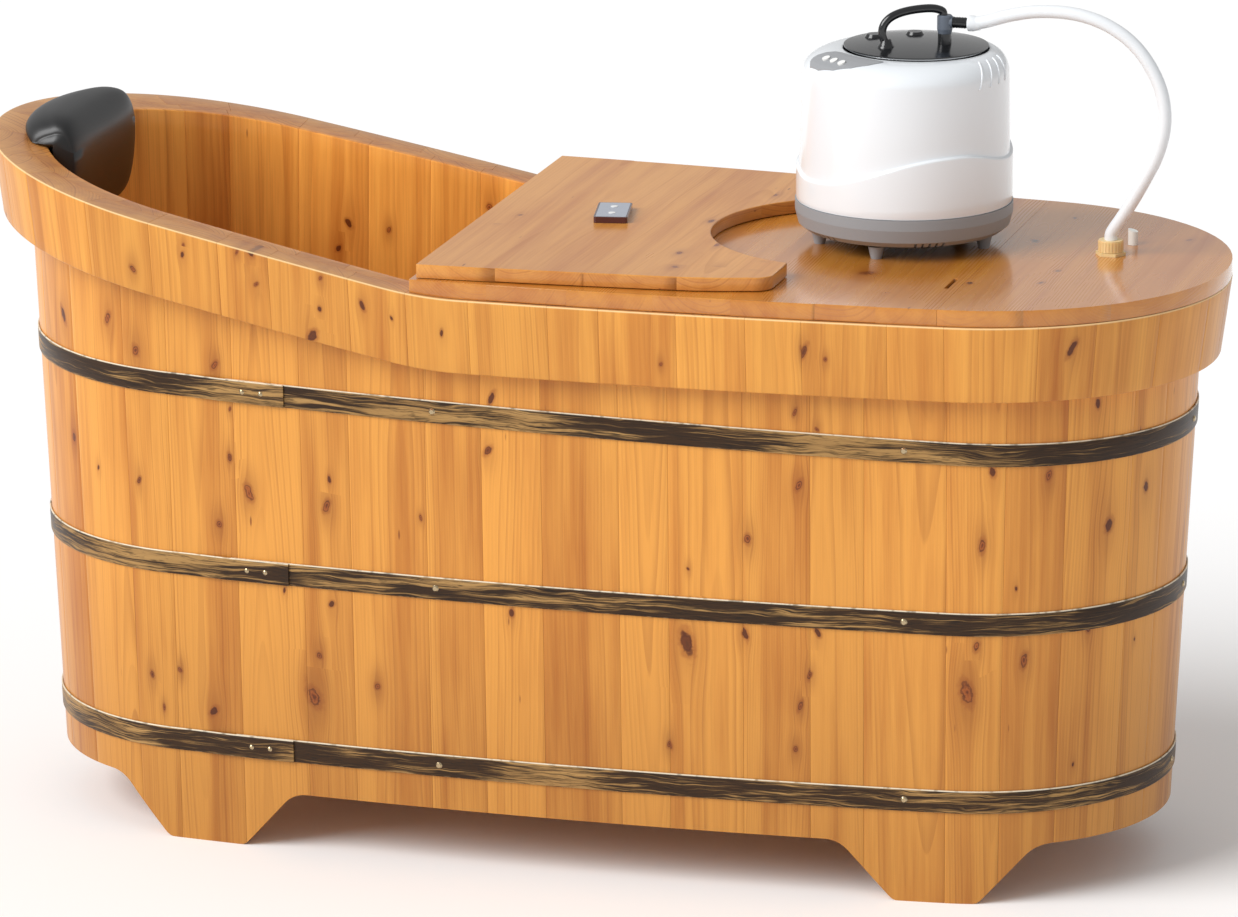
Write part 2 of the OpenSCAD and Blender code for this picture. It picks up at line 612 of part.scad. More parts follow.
module vent_plug() color("#f4f2ea") place() translate([plug_x, plug_y, cover_top]) {
    translate([0, 0, -cover_t + 2]) cylinder(r = 3.9, h = cover_t, $fn = 32);
    difference() {
        translate([0, 0, 0.1]) cylinder(r = 5.5, h = 18, $fn = 40);
        translate([0, 0, 16.4]) rotate([0, plug_slant, 0]) translate([-10, -10, 0]) cube([20, 20, 10]);
    }
}

// Steam maker; the lid sits off the body's axis, which leaves room for the panel
lid_off = [9.5, 10];
foot_h = 14;
base_h = 49;
shell_t = 3;
body_flare = 2.4;
shoulder_z = 192;
ring_r = lid_r + 3;
module at_steamer() place() translate([steam_x, steam_y, cover_top]) children();
module at_lid() at_steamer() translate([lid_off[0], lid_off[1], 0]) children();
foot_angles = [-95, -8, 62, 130, 205];

module steamer_feet() color("#8e9092") at_steamer() for (a = foot_angles)
    rotate([0, 0, a]) translate([95, 0, 0.1]) {
        cylinder(r1 = 6, r2 = 9.3, h = foot_h, $fn = 32);
    }
vent_w = 2.6;
module steamer_base() color("#9b9da0") at_steamer() difference() {
    rotate_extrude($fn = 96) polygon([[0, foot_h + 0.2], [100, foot_h + 0.2], [110, foot_h + 3],
        [117.5, foot_h + 9], [skirt_r + 1, base_h - 12], [skirt_r + 1, base_h - 0.2],
        [skirt_r - 3, base_h - 0.2], [skirt_r - 3, base_h - 12], [107, foot_h + 6], [0, foot_h + 6]]);
    for (a = [-62, -127]) for (k = [-2:2]) rotate([0, 0, a + 4 * k])
        translate([104, -vent_w / 2, foot_h - 2]) cube([12, vent_w, 12]);
}
// Closed shape of the housing's top: it eases from the body to the lid's ring
module shoulder(t) hull() for (i = [0:7]) let (a = i * 90 / 7)
    translate([lid_off[0] * (1 - cos(a)), lid_off[1] * (1 - cos(a)), shoulder_z - t])
        cylinder(r = ring_r + (body_r - ring_r) * cos(a) - t,
            h = 0.1 + (lid_z - shoulder_z) * sin(a), $fn = 64);
// Upper edge of the skirt, seen from the front: a wave that is high on the right and low on the
// left, and eases back at both sides
wave_mid = 98;
wave_rise = 18.5;
function wave_z(x) = wave_mid + wave_rise * sin(1.04 * (x + 5.5))
    - 9 * pow(max(0, x - 85) / 35, 2) + 10 * pow(max(0, -92 - x) / 28, 2);
module skirt(r, up) intersection() {
    cylinder(r = r, h = shoulder_z, $fn = 96);
    rotate([90, 0, 0]) linear_extrude(height = 3 * skirt_r, center = true)
        polygon(concat([[-skirt_r - 2, base_h], [skirt_r + 2, base_h]],
            [for (i = [30:-1:-30]) [(skirt_r + 2) * i / 30, wave_z((skirt_r + 2) * i / 30) + up]]));
}
module steamer_housing() color("#f6f6f4") at_steamer() difference() {
    union() {
        skirt(skirt_r, 0);
        skirt(skirt_r - 1.2, 1.5);
        rotate_extrude($fn = 96) polygon([[0, base_h], [body_r + body_flare, base_h],
            [body_r, shoulder_z], [0, shoulder_z]]);
        shoulder(0);
    }
    rotate_extrude($fn = 96) polygon([[0, base_h - 1], [body_r + body_flare - shell_t, base_h - 1],
        [body_r - shell_t, shoulder_z - shell_t], [0, shoulder_z - shell_t]]);
    shoulder(shell_t);
    translate([lid_off[0], lid_off[1], 100]) cylinder(r = tank_r + 0.5, h = 150, $fn = 64);
    translate([0, 0, 180]) linear_extrude(height = 60) offset(r = 0.3) panel_shape();
    inlet_spot() translate([0, 0, -12]) cube([31, 22, 30], center = true);
}
tank_r = 70;
tank_z = 62;
module steamer_tank() color("#b8bcbf") at_lid() rotate_extrude($fn = 64) polygon([[0, tank_z],
    [tank_r, tank_z], [tank_r, lid_z + 0.3], [lid_r - 2, lid_z + 0.3], [lid_r - 2, lid_z + 1.8],
    [tank_r - 2, lid_z + 1.8], [tank_r - 2, tank_z + 2], [0, tank_z + 2]]);
module heater_ring() color("#8a8d90") at_lid() {
    translate([0, 0, tank_z + 16]) rotate_extrude($fn = 64) translate([46, 0]) circle(r = 5, $fn = 24);
    for (s = [-1, 1]) translate([46, s * 12, tank_z + 2.2]) cylinder(r = 4, h = 10, $fn = 24);
}
// The panel is a drop-shaped plate that follows the shoulder; its outline is drawn from above, each
// point as the angle round the body's axis and the share of the way out from the lid's ring
panel_a = 228;
panel_tilt = 20.4;
panel_r = 95;
panel_z = 212.7;
panel_up = 0.8;
panel_down = 2.6;
panel_edge = [[204, 0.62], [205.5, 0.4], [209, 0.22], [215, 0.13], [224, 0.1], [236, 0.1], [248, 0.1],
    [258, 0.11], [264, 0.14], [266, 0.19], [264, 0.28], [257, 0.48], [247, 0.68], [236, 0.83],
    [224, 0.91], [213, 0.92], [207, 0.84], [204.3, 0.74]];
function shoulder_r(a, c) = ring_r + (body_r - ring_r) * c
    + (lid_off[0] * cos(a) + lid_off[1] * sin(a)) * (1 - c);
module on_panel() rotate([0, 0, panel_a]) translate([panel_r, 0, panel_z])
    rotate([0, panel_tilt, 0]) children();
module panel_shape() polygon([for (p = panel_edge)
    shoulder_r(p[0], p[1]) * [cos(p[0]), sin(p[0])]]);
button_spots = [[0, -15], [0, 0], [0, 15]];
button_r = 4.5;
pocket_z = -3;
module control_panel() color("#a3a6a8") at_steamer() difference() {
    union() {
        intersection() {
            translate([0, 0, 180]) linear_extrude(height = 60) panel_shape();
            difference() {
                shoulder(-panel_up);
                shoulder(panel_down);
            }
        }
        on_panel() for (b = button_spots) translate([b[0], b[1], pocket_z - 2.5])
            cylinder(r = button_r + 2, h = 5, $fn = 32);
    }
    on_panel() for (b = button_spots) translate([b[0], b[1], pocket_z])
        cylinder(r = button_r + 0.25, h = 10, $fn = 32);
}
module panel_button(i) color("#eeeeec") at_steamer() on_panel()
    translate([button_spots[i][0], button_spots[i][1], -1.4]) cylinder(r = button_r, h = 3.4, $fn = 32);
module panel_button_1() panel_button(0);
module panel_button_2() panel_button(1);
module panel_button_3() panel_button(2);
module control_board() color("#2f6b45") at_steamer() rotate([0, 0, panel_a]) {
    translate([80, -30, 150]) cube([1.6, 60, 46]);
    translate([82, -22, 160]) cube([9, 16, 14]);
    translate([82, 4, 158]) cube([12, 14, 18]);
    translate([82, -4, 182]) cube([5, 18, 8]);
    for (y = [-28, 22]) translate([81.5, y, 172]) cube([26.5, 6, 6]);
}
module inlet_spot() rotate([0, 0, 75]) translate([skirt_r - 1, 0, base_h + 16])
    rotate([0, 90, 0]) rotate([0, 0, 90]) children();
module power_inlet() color("#1d1e20") at_steamer() inlet_spot() difference() {
    translate([0, 0, -8.6]) cube([30.4, 21.4, 20], center = true);
    translate([0, 0, 0]) cube([24, 16, 14], center = true);
}

// Lid with its seal, handle, screw caps, steam outlet block and ribbed barb
dome_h = 6;
dome_r = (lid_r * lid_r + dome_h * dome_h) / (2 * dome_h);
lid_seat = lid_z + 3.4;
dome_z = lid_seat + dome_h - dome_r;
lid_a = asin(lid_r / dome_r);
function dome_at(p) = dome_z + sqrt(dome_r * dome_r - p * p);
module lid_section() polygon(concat(arc_points(0, dome_z, dome_r, 90 - lid_a, 90, 10),
    arc_points(0, dome_z - 2.5, dome_r, 90, 90 - lid_a * 0.85, 9),
    [[lid_r - 11, lid_seat], [lid_r - 3, lid_seat], [lid_r - 3, lid_seat - 1.5], [lid_r, lid_seat - 1.5]]));
module steamer_lid() color("#25272a") at_lid() difference() {
    rotate_extrude($fn = 96) lid_section();
    translate([out_at[0], out_at[1], lid_z - 20]) cylinder(r = 4, h = 60, $fn = 32);
}
module lid_gasket() color("#d9d9d4") at_lid() ring(lid_r - 3.1, tank_r - 1, lid_z + 1.9, lid_z + 3.3, 64);
// Stands a piece on the dome at a spot and trims its lower end to the dome
module on_dome(p) difference() {
    translate([p[0], p[1], dome_at(p)]) children();
    translate([0, 0, dome_z]) sphere(r = dome_r + 0.05, $fn = 200);
}

// Handle and outlet, placed from the lid's middle: the arch runs from its foot to the block
foot_at = [-24, -42];
out_at = [35, -12];
block_z0 = 11.7;
block_h = 20.6;
block_r = 8.6;
arch_l = norm(out_at - foot_at);
arch_a = atan2(out_at[1] - foot_at[1], out_at[0] - foot_at[0]);
arch_end = dome_at(out_at) + block_z0 + block_h - dome_at(foot_at) + 0.2;
handle_r = 4.6;
handle_path = [[0, 4], [-3.5, 11], [-4.5, 18], [-2, 25.5], [4, 31.8], [13, 36.3], [25, 39.3],
    [38, 40.8], [49, 41.1], [57, 40], [arch_l - 3, 37.3], [arch_l - 1.5, 34.8], [arch_l - 1.5, arch_end]];
module tube(path, r, n) {
    k = len(path);
    function way(i) = path[min(i + 1, k - 1)] - path[max(i - 1, 0)];
    skin([for (i = [0:k - 1]) let (d = way(i) / norm(way(i)), c = cross(d, [0, 1, 0]), s = c / norm(c),
            t = cross(s, d))
        [for (j = [0:n - 1]) let (a = 360 * j / n) path[i] + r * (cos(a) * s + sin(a) * t)]]);
}
module lid_handle() color("#17191c") at_lid() {
    translate([foot_at[0], foot_at[1], dome_at(foot_at)]) rotate([0, 0, arch_a])
        tube([for (p = handle_path) [p[0], 0, p[1]]], handle_r, 12);
    on_dome(foot_at) translate([0, 0, -4]) cylinder(r1 = 9, r2 = 6.5, h = 10, $fn = 32);
}
cap_spots = [[-50, 10], [-8, 27]];
module lid_caps() color("#101113") at_lid() {
    for (c = cap_spots) on_dome(c) translate([0, 0, -4]) cylinder(r1 = 13, r2 = 8, h = 7.5, $fn = 40);
    on_dome(out_at) translate([0, 0, -4]) difference() {
        cylinder(r = block_r - 1, h = block_z0 + 3.9, $fn = 40);
        translate([0, 0, -1]) cylinder(r = 4, h = 30, $fn = 32);
    }
}
barb_up = 24.3;
barb_x = 9.3;
barb_l = 16.7;
module at_block() at_lid() translate([out_at[0], out_at[1], dome_at(out_at)]) children();
module nozzle_block() color("#5c6672") at_block() difference() {
    union() {
        translate([0, 0, block_z0]) cylinder(r1 = block_r - 1.2, r2 = block_r, h = 5, $fn = 40);
        translate([0, 0, block_z0 + 5]) cylinder(r = block_r, h = block_h - 6.5, $fn = 40);
        translate([0, 0, block_z0 + block_h - 1.5])
            cylinder(r1 = block_r, r2 = block_r - 1.5, h = 1.5, $fn = 40);
        translate([0, 0, barb_up]) rotate([0, 90, 0]) cylinder(r = 6.6, h = barb_x - 0.1, $fn = 40);
    }
    cylinder(r = 4, h = barb_up + 3, $fn = 32);
    translate([0, 0, barb_up]) rotate([0, 90, 0]) cylinder(r = 3.5, h = 20, $fn = 32);
}
module nozzle_barb() color("#1b1d1f") at_block() translate([barb_x, 0, barb_up]) rotate([0, 90, 0])
    difference() {
        union() {
            cylinder(r = 5.4, h = barb_l, $fn = 32);
            for (i = [0:4]) translate([0, 0, 1 + 3 * i]) cylinder(r1 = 6.4, r2 = 5.6, h = 2.2, $fn = 32);
        }
        translate([0, 0, -1]) cylinder(r = 3.5, h = 40, $fn = 32);
    }

// Route of the hose from the barb to the nut, seen from the side: [x, z]; it veers evenly across
hose_x0 = steam_x + lid_off[0] + out_at[0] + barb_x + barb_l + 0.1;
hose_y0 = steam_y + lid_off[1] + out_at[1];
hose_z0 = cover_top + dome_at(out_at) + barb_up;
hose_route = concat([[hose_x0, hose_z0], [hose_x0 + 3, hose_z0]],
    [[405, 932.6], [414, 934], [426, 937.5], [440, 942], [456, 946],
    [474, 949], [492, 950], [510, 949.5], [528, 946.8], [546, 941.5], [563, 933.5], [579, 922.5],
    [593, 908.5], [605, 891], [614, 872], [619, 852], [620, 832], [617, 812], [611, 793], [602.5, 775],
    [593, 757], [583.5, 740], [574.5, 725], [567, 713.5], [fit_x + 0.8, 707]],
    [[fit_x, 703.5], [fit_x, cover_top + nut_top + 0.1]]);
// Both ends of the hose run straight, square to the barb and to the nut
module steam_hose() color("#f2f1ee") place()
    tube([for (i = [0:len(hose_route) - 1]) let (t = min(1, max(0, i - 1) / (len(hose_route) - 3)))
        [hose_route[i][0], hose_y0 + (fit_y - hose_y0) * t, hose_route[i][1]]], hose_d / 2, 12);

// Remote control, lying on the folded neck board
remote_at = [2, -1];
remote_turn = 11;
remote_size = [38, 74, 7];
module at_remote() place() translate([remote_at[0], remote_at[1], board_z + board_t + 0.1])
    rotate([0, 0, remote_turn]) children();
module slab(size, r) translate([0, 0, size[2] / 2]) {
    cube([size[0] - 2 * r, size[1], size[2]], center = true);
    cube([size[0], size[1] - 2 * r, size[2]], center = true);
    for (x = [-1, 1]) for (y = [-1, 1]) translate([x * (size[0] / 2 - r), y * (size[1] / 2 - r), 0])
        cylinder(r = r, h = size[2], center = true, $fn = 24);
}
key_spots = [[0, 16], [0, -16]];
module remote_case() color("#3a1f22") at_remote() difference() {
    slab(remote_size, 3);
    translate([0, 0, 5.4]) slab([34.4, 70.4, 4], 2);
    translate([0, 0, 1.4]) slab([28, 44, 10], 2);
}
module remote_face() color("#c9cbd0") at_remote() difference() {
    translate([0, 0, 5.5]) slab([34, 70, 1.7], 2);
    for (k = key_spots) translate([k[0], k[1], 5]) cylinder(r = 4.2, h = 5, $fn = 32);
}
module remote_battery() color("#b9bcc0") at_remote()
    translate([0, 0, 1.6]) cylinder(r = 10, h = 3.2, $fn = 48);
module remote_button(i) color("#8f9296") at_remote()
    translate([key_spots[i][0], key_spots[i][1], 5.7]) cylinder(r = 4, h = 2, $fn = 32);
module remote_button_1() remote_button(0);
module remote_button_2() remote_button(1);

staves_front();
staves_back();
staves_head();
staves_foot();
collar_front();
collar_back();
collar_head();
collar_foot();
hoop_bottom();
hoop_middle();
hoop_top();
hoop_screws();
hoop_rivets();
floor_boards();
floor_battens();
floor_screws();
drain_flange();
drain_gasket();
drain_locknut();
drain_tail();
drain_stopper();
pillow();
cover_main_panel();
cover_foot_panel();
cover_battens();
cover_screws();
neck_board();
hinge_fixed_leaves();
hinge_moving_leaves();
hinge_pins();
hinge_fixed_screws();
hinge_moving_screws();
steam_socket();
socket_locknut();
hose_nut();
vent_plug();
steamer_feet();
steamer_base();
steamer_housing();
steamer_tank();
heater_ring();
control_board();
control_panel();
panel_button_1();
panel_button_2();
panel_button_3();
power_inlet();
steamer_lid();
lid_gasket();
lid_handle();
lid_caps();
nozzle_block();
nozzle_barb();
steam_hose();
remote_case();
remote_face();
remote_battery();
remote_button_1();
remote_button_2();
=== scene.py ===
# An oval soaking tub of varnished staves under three worn metal hoops, half covered by a wooden
# lid with a folded neck board, with a black head pad and a small steam maker. Metres, Z up.
import json
from functools import partial
from math import atan2, cos, degrees, pi, radians, sin, tan

import bmesh
import bpy
import numpy as np
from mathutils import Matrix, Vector


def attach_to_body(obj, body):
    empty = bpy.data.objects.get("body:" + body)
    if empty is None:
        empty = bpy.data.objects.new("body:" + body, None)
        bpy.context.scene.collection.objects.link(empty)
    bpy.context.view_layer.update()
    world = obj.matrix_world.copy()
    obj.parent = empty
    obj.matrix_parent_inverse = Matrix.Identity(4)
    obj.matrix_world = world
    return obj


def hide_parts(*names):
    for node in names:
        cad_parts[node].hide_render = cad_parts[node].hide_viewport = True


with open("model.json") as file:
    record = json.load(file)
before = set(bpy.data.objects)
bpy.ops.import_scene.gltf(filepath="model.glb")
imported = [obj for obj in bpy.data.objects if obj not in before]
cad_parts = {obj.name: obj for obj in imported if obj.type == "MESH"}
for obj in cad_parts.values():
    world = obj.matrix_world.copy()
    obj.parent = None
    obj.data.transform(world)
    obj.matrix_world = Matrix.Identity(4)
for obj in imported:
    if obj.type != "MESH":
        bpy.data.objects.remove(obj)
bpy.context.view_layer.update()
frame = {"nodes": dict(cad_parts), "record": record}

# The tub's own measures, in millimetres from its middle; SHIFT brings them into the frame
SHIFT = 7.3626
END_X, END_R, HALF_W = 420.0, 280.0, 300.0
SIDE_R = (END_X**2 + HALF_W**2 - END_R**2) / (2 * (HALF_W - END_R))
SIDE_Y = SIDE_R - HALF_W
JOIN = degrees(atan2(SIDE_Y, END_X))
# The outline's four arcs: middle, radius, and the angles where they join
ARCS = {"foot": (END_X, 0, END_R, -JOIN, JOIN), "head": (-END_X, 0, END_R, 180 - JOIN, 180 + JOIN),
        "back": (0, -SIDE_Y, SIDE_R, JOIN, 180 - JOIN),
        "front": (0, SIDE_Y, SIDE_R, 180 + JOIN, 360 - JOIN)}
# The rim is level up to CLIMB_X and climbs to the head at RIM_ANGLE, eased by an arc
RIM_Z, RIM_ANGLE, CLIMB_X, CLIMB_R = 664.0, 11.0, -132.0, 450.0
COLLAR_T, COLLAR_H, COLLAR_FLARE, STAVE_T, LEAN = 30.0, 85.0, 0.13, 22.0, 0.045
COLLAR_SEAT = 0.2
FEET_X, FOOT_HALF, ARCH_Z = (-411, 430), 46, 67
COVER_TOP, BOARD_TOP = 682.5, 698.2
STEAM = np.array([326.5, 37.0, COVER_TOP])
LID_OFF = np.array([9.5, 10.0])


def wall_out(z):
    """How far the staves' outer face lies inside the rim's outline at height z."""
    return COLLAR_T + LEAN * (RIM_Z - z)


def wall_in(z):
    """The staves' inner face: their thickness further in."""
    return wall_out(z) + STAVE_T


def collar_out(z):
    """The collar's outer face: at the rim's outline, and leaning in downwards."""
    return COLLAR_FLARE * (RIM_Z - z)


def collar_in(z):
    """The collar's inner face: just outside the staves."""
    return wall_out(z) - COLLAR_SEAT


def rim_line(x):
    """The rim's height at x: level, then an easing arc, then a straight climb to the head."""
    ease = CLIMB_X + CLIMB_R * tan(radians(RIM_ANGLE / 2))
    arc = RIM_Z + CLIMB_R - np.sqrt(np.clip(CLIMB_R**2 - (x - ease) ** 2, 0, None))
    climb = RIM_Z + (CLIMB_X - x) * tan(radians(RIM_ANGLE))
    return np.where(x > ease, RIM_Z, np.where(x > ease - CLIMB_R * sin(radians(RIM_ANGLE)), arc, climb))


def turns(cx, cz, r, a0, a1):
    """Nine points on an arc round (cx, cz)."""
    a = np.radians(np.linspace(a0, a1, 9))
    return np.stack([cx + r * np.cos(a), cz + r * np.sin(a)], -1)


# One side of a foot, outwards from its corner on the floor: toe, 48 degree side, arch
FOOT = np.concatenate([[[-60, 0]], turns(-5.343, 12, 12, -90, -42), turns(75.91, 32, 35, 138, 90),
                       [[2000, ARCH_Z]]])


def arch_line(x):
    """Lower edge of the staves at x: the nearer foot's outline."""
    return np.minimum(*(np.interp(np.abs(x - foot) - FOOT_HALF, FOOT[:, 0], FOOT[:, 1]) for foot in FEET_X))


def half_width(x, inset):
    """Half the outline's width at x, moved in by inset."""
    side = np.sqrt((SIDE_R - inset) ** 2 - x * x) - SIDE_Y
    end = np.sqrt(np.clip((END_R - inset) ** 2 - (np.abs(x) - END_X) ** 2, 0, None))
    return np.where(np.abs(x) < END_X + END_R * cos(radians(JOIN)), side, end)


# ---- making meshes

def placed(name, data):
    """A new object in the scene."""
    thing = bpy.data.objects.new(name, data)
    bpy.context.scene.collection.objects.link(thing)
    return thing


def piece(name, points, faces, body, slot, nodes=(), sharp=32):
    """A piece from points in tub millimetres and lists of corners."""
    mesh = bpy.data.meshes.new(name)
    spots = (np.asarray(points, float).reshape(-1, 3) + [SHIFT, 0, 0]) / 1000
    mesh.from_pydata(spots, [], [list(map(int, f)) for f in faces])
    mesh.validate()
    return settle(name, mesh, body, slot, nodes, sharp)


def settle(name, mesh, body, slot, nodes, sharp):
    """Puts a mesh into the scene on its body, with its slot's finish, in place of the nodes."""
    mesh.polygons.foreach_set("use_smooth", np.ones(len(mesh.polygons), bool))
    mesh.set_sharp_from_angle(angle=radians(sharp))
    mesh.materials.append(FINISH[slot])
    thing = placed(name, mesh)
    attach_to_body(thing, body)
    if nodes:
        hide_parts(*nodes)
    return thing


def volume(points, quads):
    """Signed volume inside a closed skin of quads; it is negative when the faces look inwards."""
    a, b, c, d = (points[quads[:, i]] for i in range(4))
    return (np.einsum("ij,ij->i", a, np.cross(b, c)) + np.einsum("ij,ij->i", a, np.cross(c, d))).sum()


def skin(grid):
    """Quads over rings of points: each ring is joined to the next and closes on itself."""
    index = np.arange(grid.shape[0] * grid.shape[1]).reshape(grid.shape[:2])
    there = np.roll(index, -1, 1)
    quads = np.stack([index[:-1], there[:-1], there[1:], index[1:]], -1).reshape(-1, 4)
    return quads if volume(grid.reshape(-1, 3), quads) > 0 else quads[:, ::-1]


def folded(ring):
    """A ring pressed flat onto its own middle line, which closes the end of a tube of such rings."""
    return (ring + ring[..., ::-1, :]) / 2


def attach(mesh, name, values, domain="POINT"):
    """Stores a vector for each point or face of the mesh."""
    layer = mesh.attributes.new(name, "FLOAT_VECTOR", domain)
    layer.data.foreach_set("vector", np.ascontiguousarray(values, np.float32).ravel())


NO_KNOT = (9.0, 9.0, 1.0)


def nearest(spots, knots):
    """The knot, across, along and radius, that reaches furthest over each spot of a board."""
    if not len(knots):
        return np.tile(NO_KNOT, (len(spots), 1))
    off = np.hypot(spots[:, None, 0] - knots[:, 0], (spots[:, None, 1] - knots[:, 1]) * 0.5)
    return knots[np.argmin(off - 1.5 * knots[:, 2], axis=1)]


WELD = 1e-6


def merged(mesh):
    """Welds the points that lie on one another, such as a closed end's."""
    work = bmesh.new()
    work.from_mesh(mesh)
    bmesh.ops.remove_doubles(work, verts=work.verts, dist=WELD)
    bmesh.ops.dissolve_degenerate(work, edges=work.edges, dist=WELD)
    work.to_mesh(mesh)
    work.free()


def closed(name, grid, body, slot, nodes=(), sharp=50):
    """A piece from rings of points, the ends of which are pressed together or meet."""
    thing = piece(name, grid, skin(grid), body, slot, nodes, sharp)
    merged(thing.data)
    return thing


def around(cells):
    """Even angles round a circle."""
    return np.linspace(0, 2 * pi, cells + 1)[:-1]


def turned(name, profile, foot, axis, body, slot):
    """A solid of revolution: the profile, as (way along the axis, radius), goes round the axis from foot.
    Its first and last rings are pressed to points on the axis."""
    run, r = np.asarray(profile, float).T
    side = np.cross(axis, (0.0, 1.0, 0.0))
    up = np.cross(axis, side)
    run, r = np.concatenate([run[:1], run, run[-1:]]), np.concatenate([[0], r, [0]])
    a = around(48)
    spot = (foot + run[:, None, None] * axis
            + r[:, None, None] * (np.cos(a)[:, None] * side + np.sin(a)[:, None] * up))
    return closed(name, spot, body, slot)


def rod(path, radius, side, cells):
    """Rings of the given radius round each point of a path, square to it; side is kept level with them.
    Both ends are rounded off over one radius."""
    way = np.gradient(path, axis=0)
    way /= np.linalg.norm(way, axis=1, keepdims=True)
    up = np.cross(way, side)
    up /= np.linalg.norm(up, axis=1, keepdims=True)
    side = np.cross(up, way)
    bend = np.radians([90, 70, 45, 20])
    reach, ring = (radius * np.sin(bend))[:, None], radius * np.cos(bend)
    spots = np.vstack([path[:1] - way[:1] * reach, path, path[-1:] + way[-1:] * reach[::-1]])
    r = np.concatenate([ring, np.full(len(path), radius), ring[::-1]])[:, None, None]
    side, up = (np.pad(turn, ((4, 4), (0, 0)), "edge") for turn in (side, up))
    a = around(cells)[:, None]
    return spots[:, None] + r * (np.cos(a) * side[:, None] + np.sin(a) * up[:, None])


# ---- making materials

def put(tree, kind, inputs=None, **settings):
    """A shader node with its settings, and inputs that are values or other nodes' sockets."""
    node = tree.nodes.new("ShaderNode" + kind)
    for key, value in settings.items():
        setattr(node, key, value)
    for key, value in (inputs or {}).items():
        if isinstance(value, bpy.types.NodeSocket):
            tree.links.new(value, node.inputs[key])
        else:
            node.inputs[key].default_value = value
    return node


def calc(tree, operation, *values, clamp=False):
    return put(tree, "Math", dict(enumerate(values)), operation=operation, use_clamp=clamp).outputs[0]


def fade(tree, value, low, high, to_low=0.0, to_high=1.0):
    """A smooth step of value, from to_low at low to to_high at high."""
    ends = {"Value": value, "From Min": low, "From Max": high, "To Min": to_low, "To Max": to_high}
    return put(tree, "MapRange", ends, interpolation_type="SMOOTHSTEP").outputs[0]


def mixed(tree, share, a, b):
    """Colour a with its share of b over it."""
    return put(tree, "Mix", {0: share, 6: a, 7: b}, data_type="RGBA").outputs[2]


def tools(tree):
    """Adding, subtracting, multiplying, mixing and stepping in one tree."""
    sums = [partial(calc, tree, operation) for operation in ("ADD", "SUBTRACT", "MULTIPLY")]
    return *sums, partial(mixed, tree), partial(fade, tree)


def joined(tree, x, y, z):
    return put(tree, "CombineXYZ", {0: x, 1: y, 2: z}).outputs[0]


def parts(tree, vector):
    return put(tree, "SeparateXYZ", {0: vector}).outputs


def stored(tree, name):
    """A vector that the mesh's own attribute gives."""
    return put(tree, "Attribute", attribute_name=name).outputs["Vector"]


def noise(tree, vector, scale=1.0, detail=2.0, rough=0.5):
    kinds = {"Vector": vector, "Scale": scale, "Detail": detail, "Roughness": rough}
    return put(tree, "TexNoise", kinds).outputs[0]


def material(name, **constants):
    """A material with one Principled shader whose plain values are set on its own sockets."""
    made = bpy.data.materials.new(name)
    made.use_nodes = True
    tree = made.node_tree
    shader = tree.nodes["Principled BSDF"]
    for key, value in constants.items():
        shader.inputs[key.replace("_", " ").title().replace("Ior", "IOR")].default_value = value
    return made, tree, shader


def wire(tree, shader, height, distance, strength, **sockets):
    """Leads colours and values to the shader, and a height to its normal."""
    bump = put(tree, "Bump", {"Height": height, "Distance": distance, "Strength": strength})
    for key, socket in dict(sockets, normal=bump.outputs[0]).items():
        tree.links.new(socket, shader.inputs[key.replace("_", " ").title()])


def rgb(r, g, b):
    """A colour given as seen on a screen, 0 to 255, as the shader takes it."""
    return tuple(((c / 255 + 0.055) / 1.055) ** 2.4 if c > 10 else c / 255 / 12.92 for c in (r, g, b)) + (1,)


KNOT_DARK = rgb(82, 32, 6)


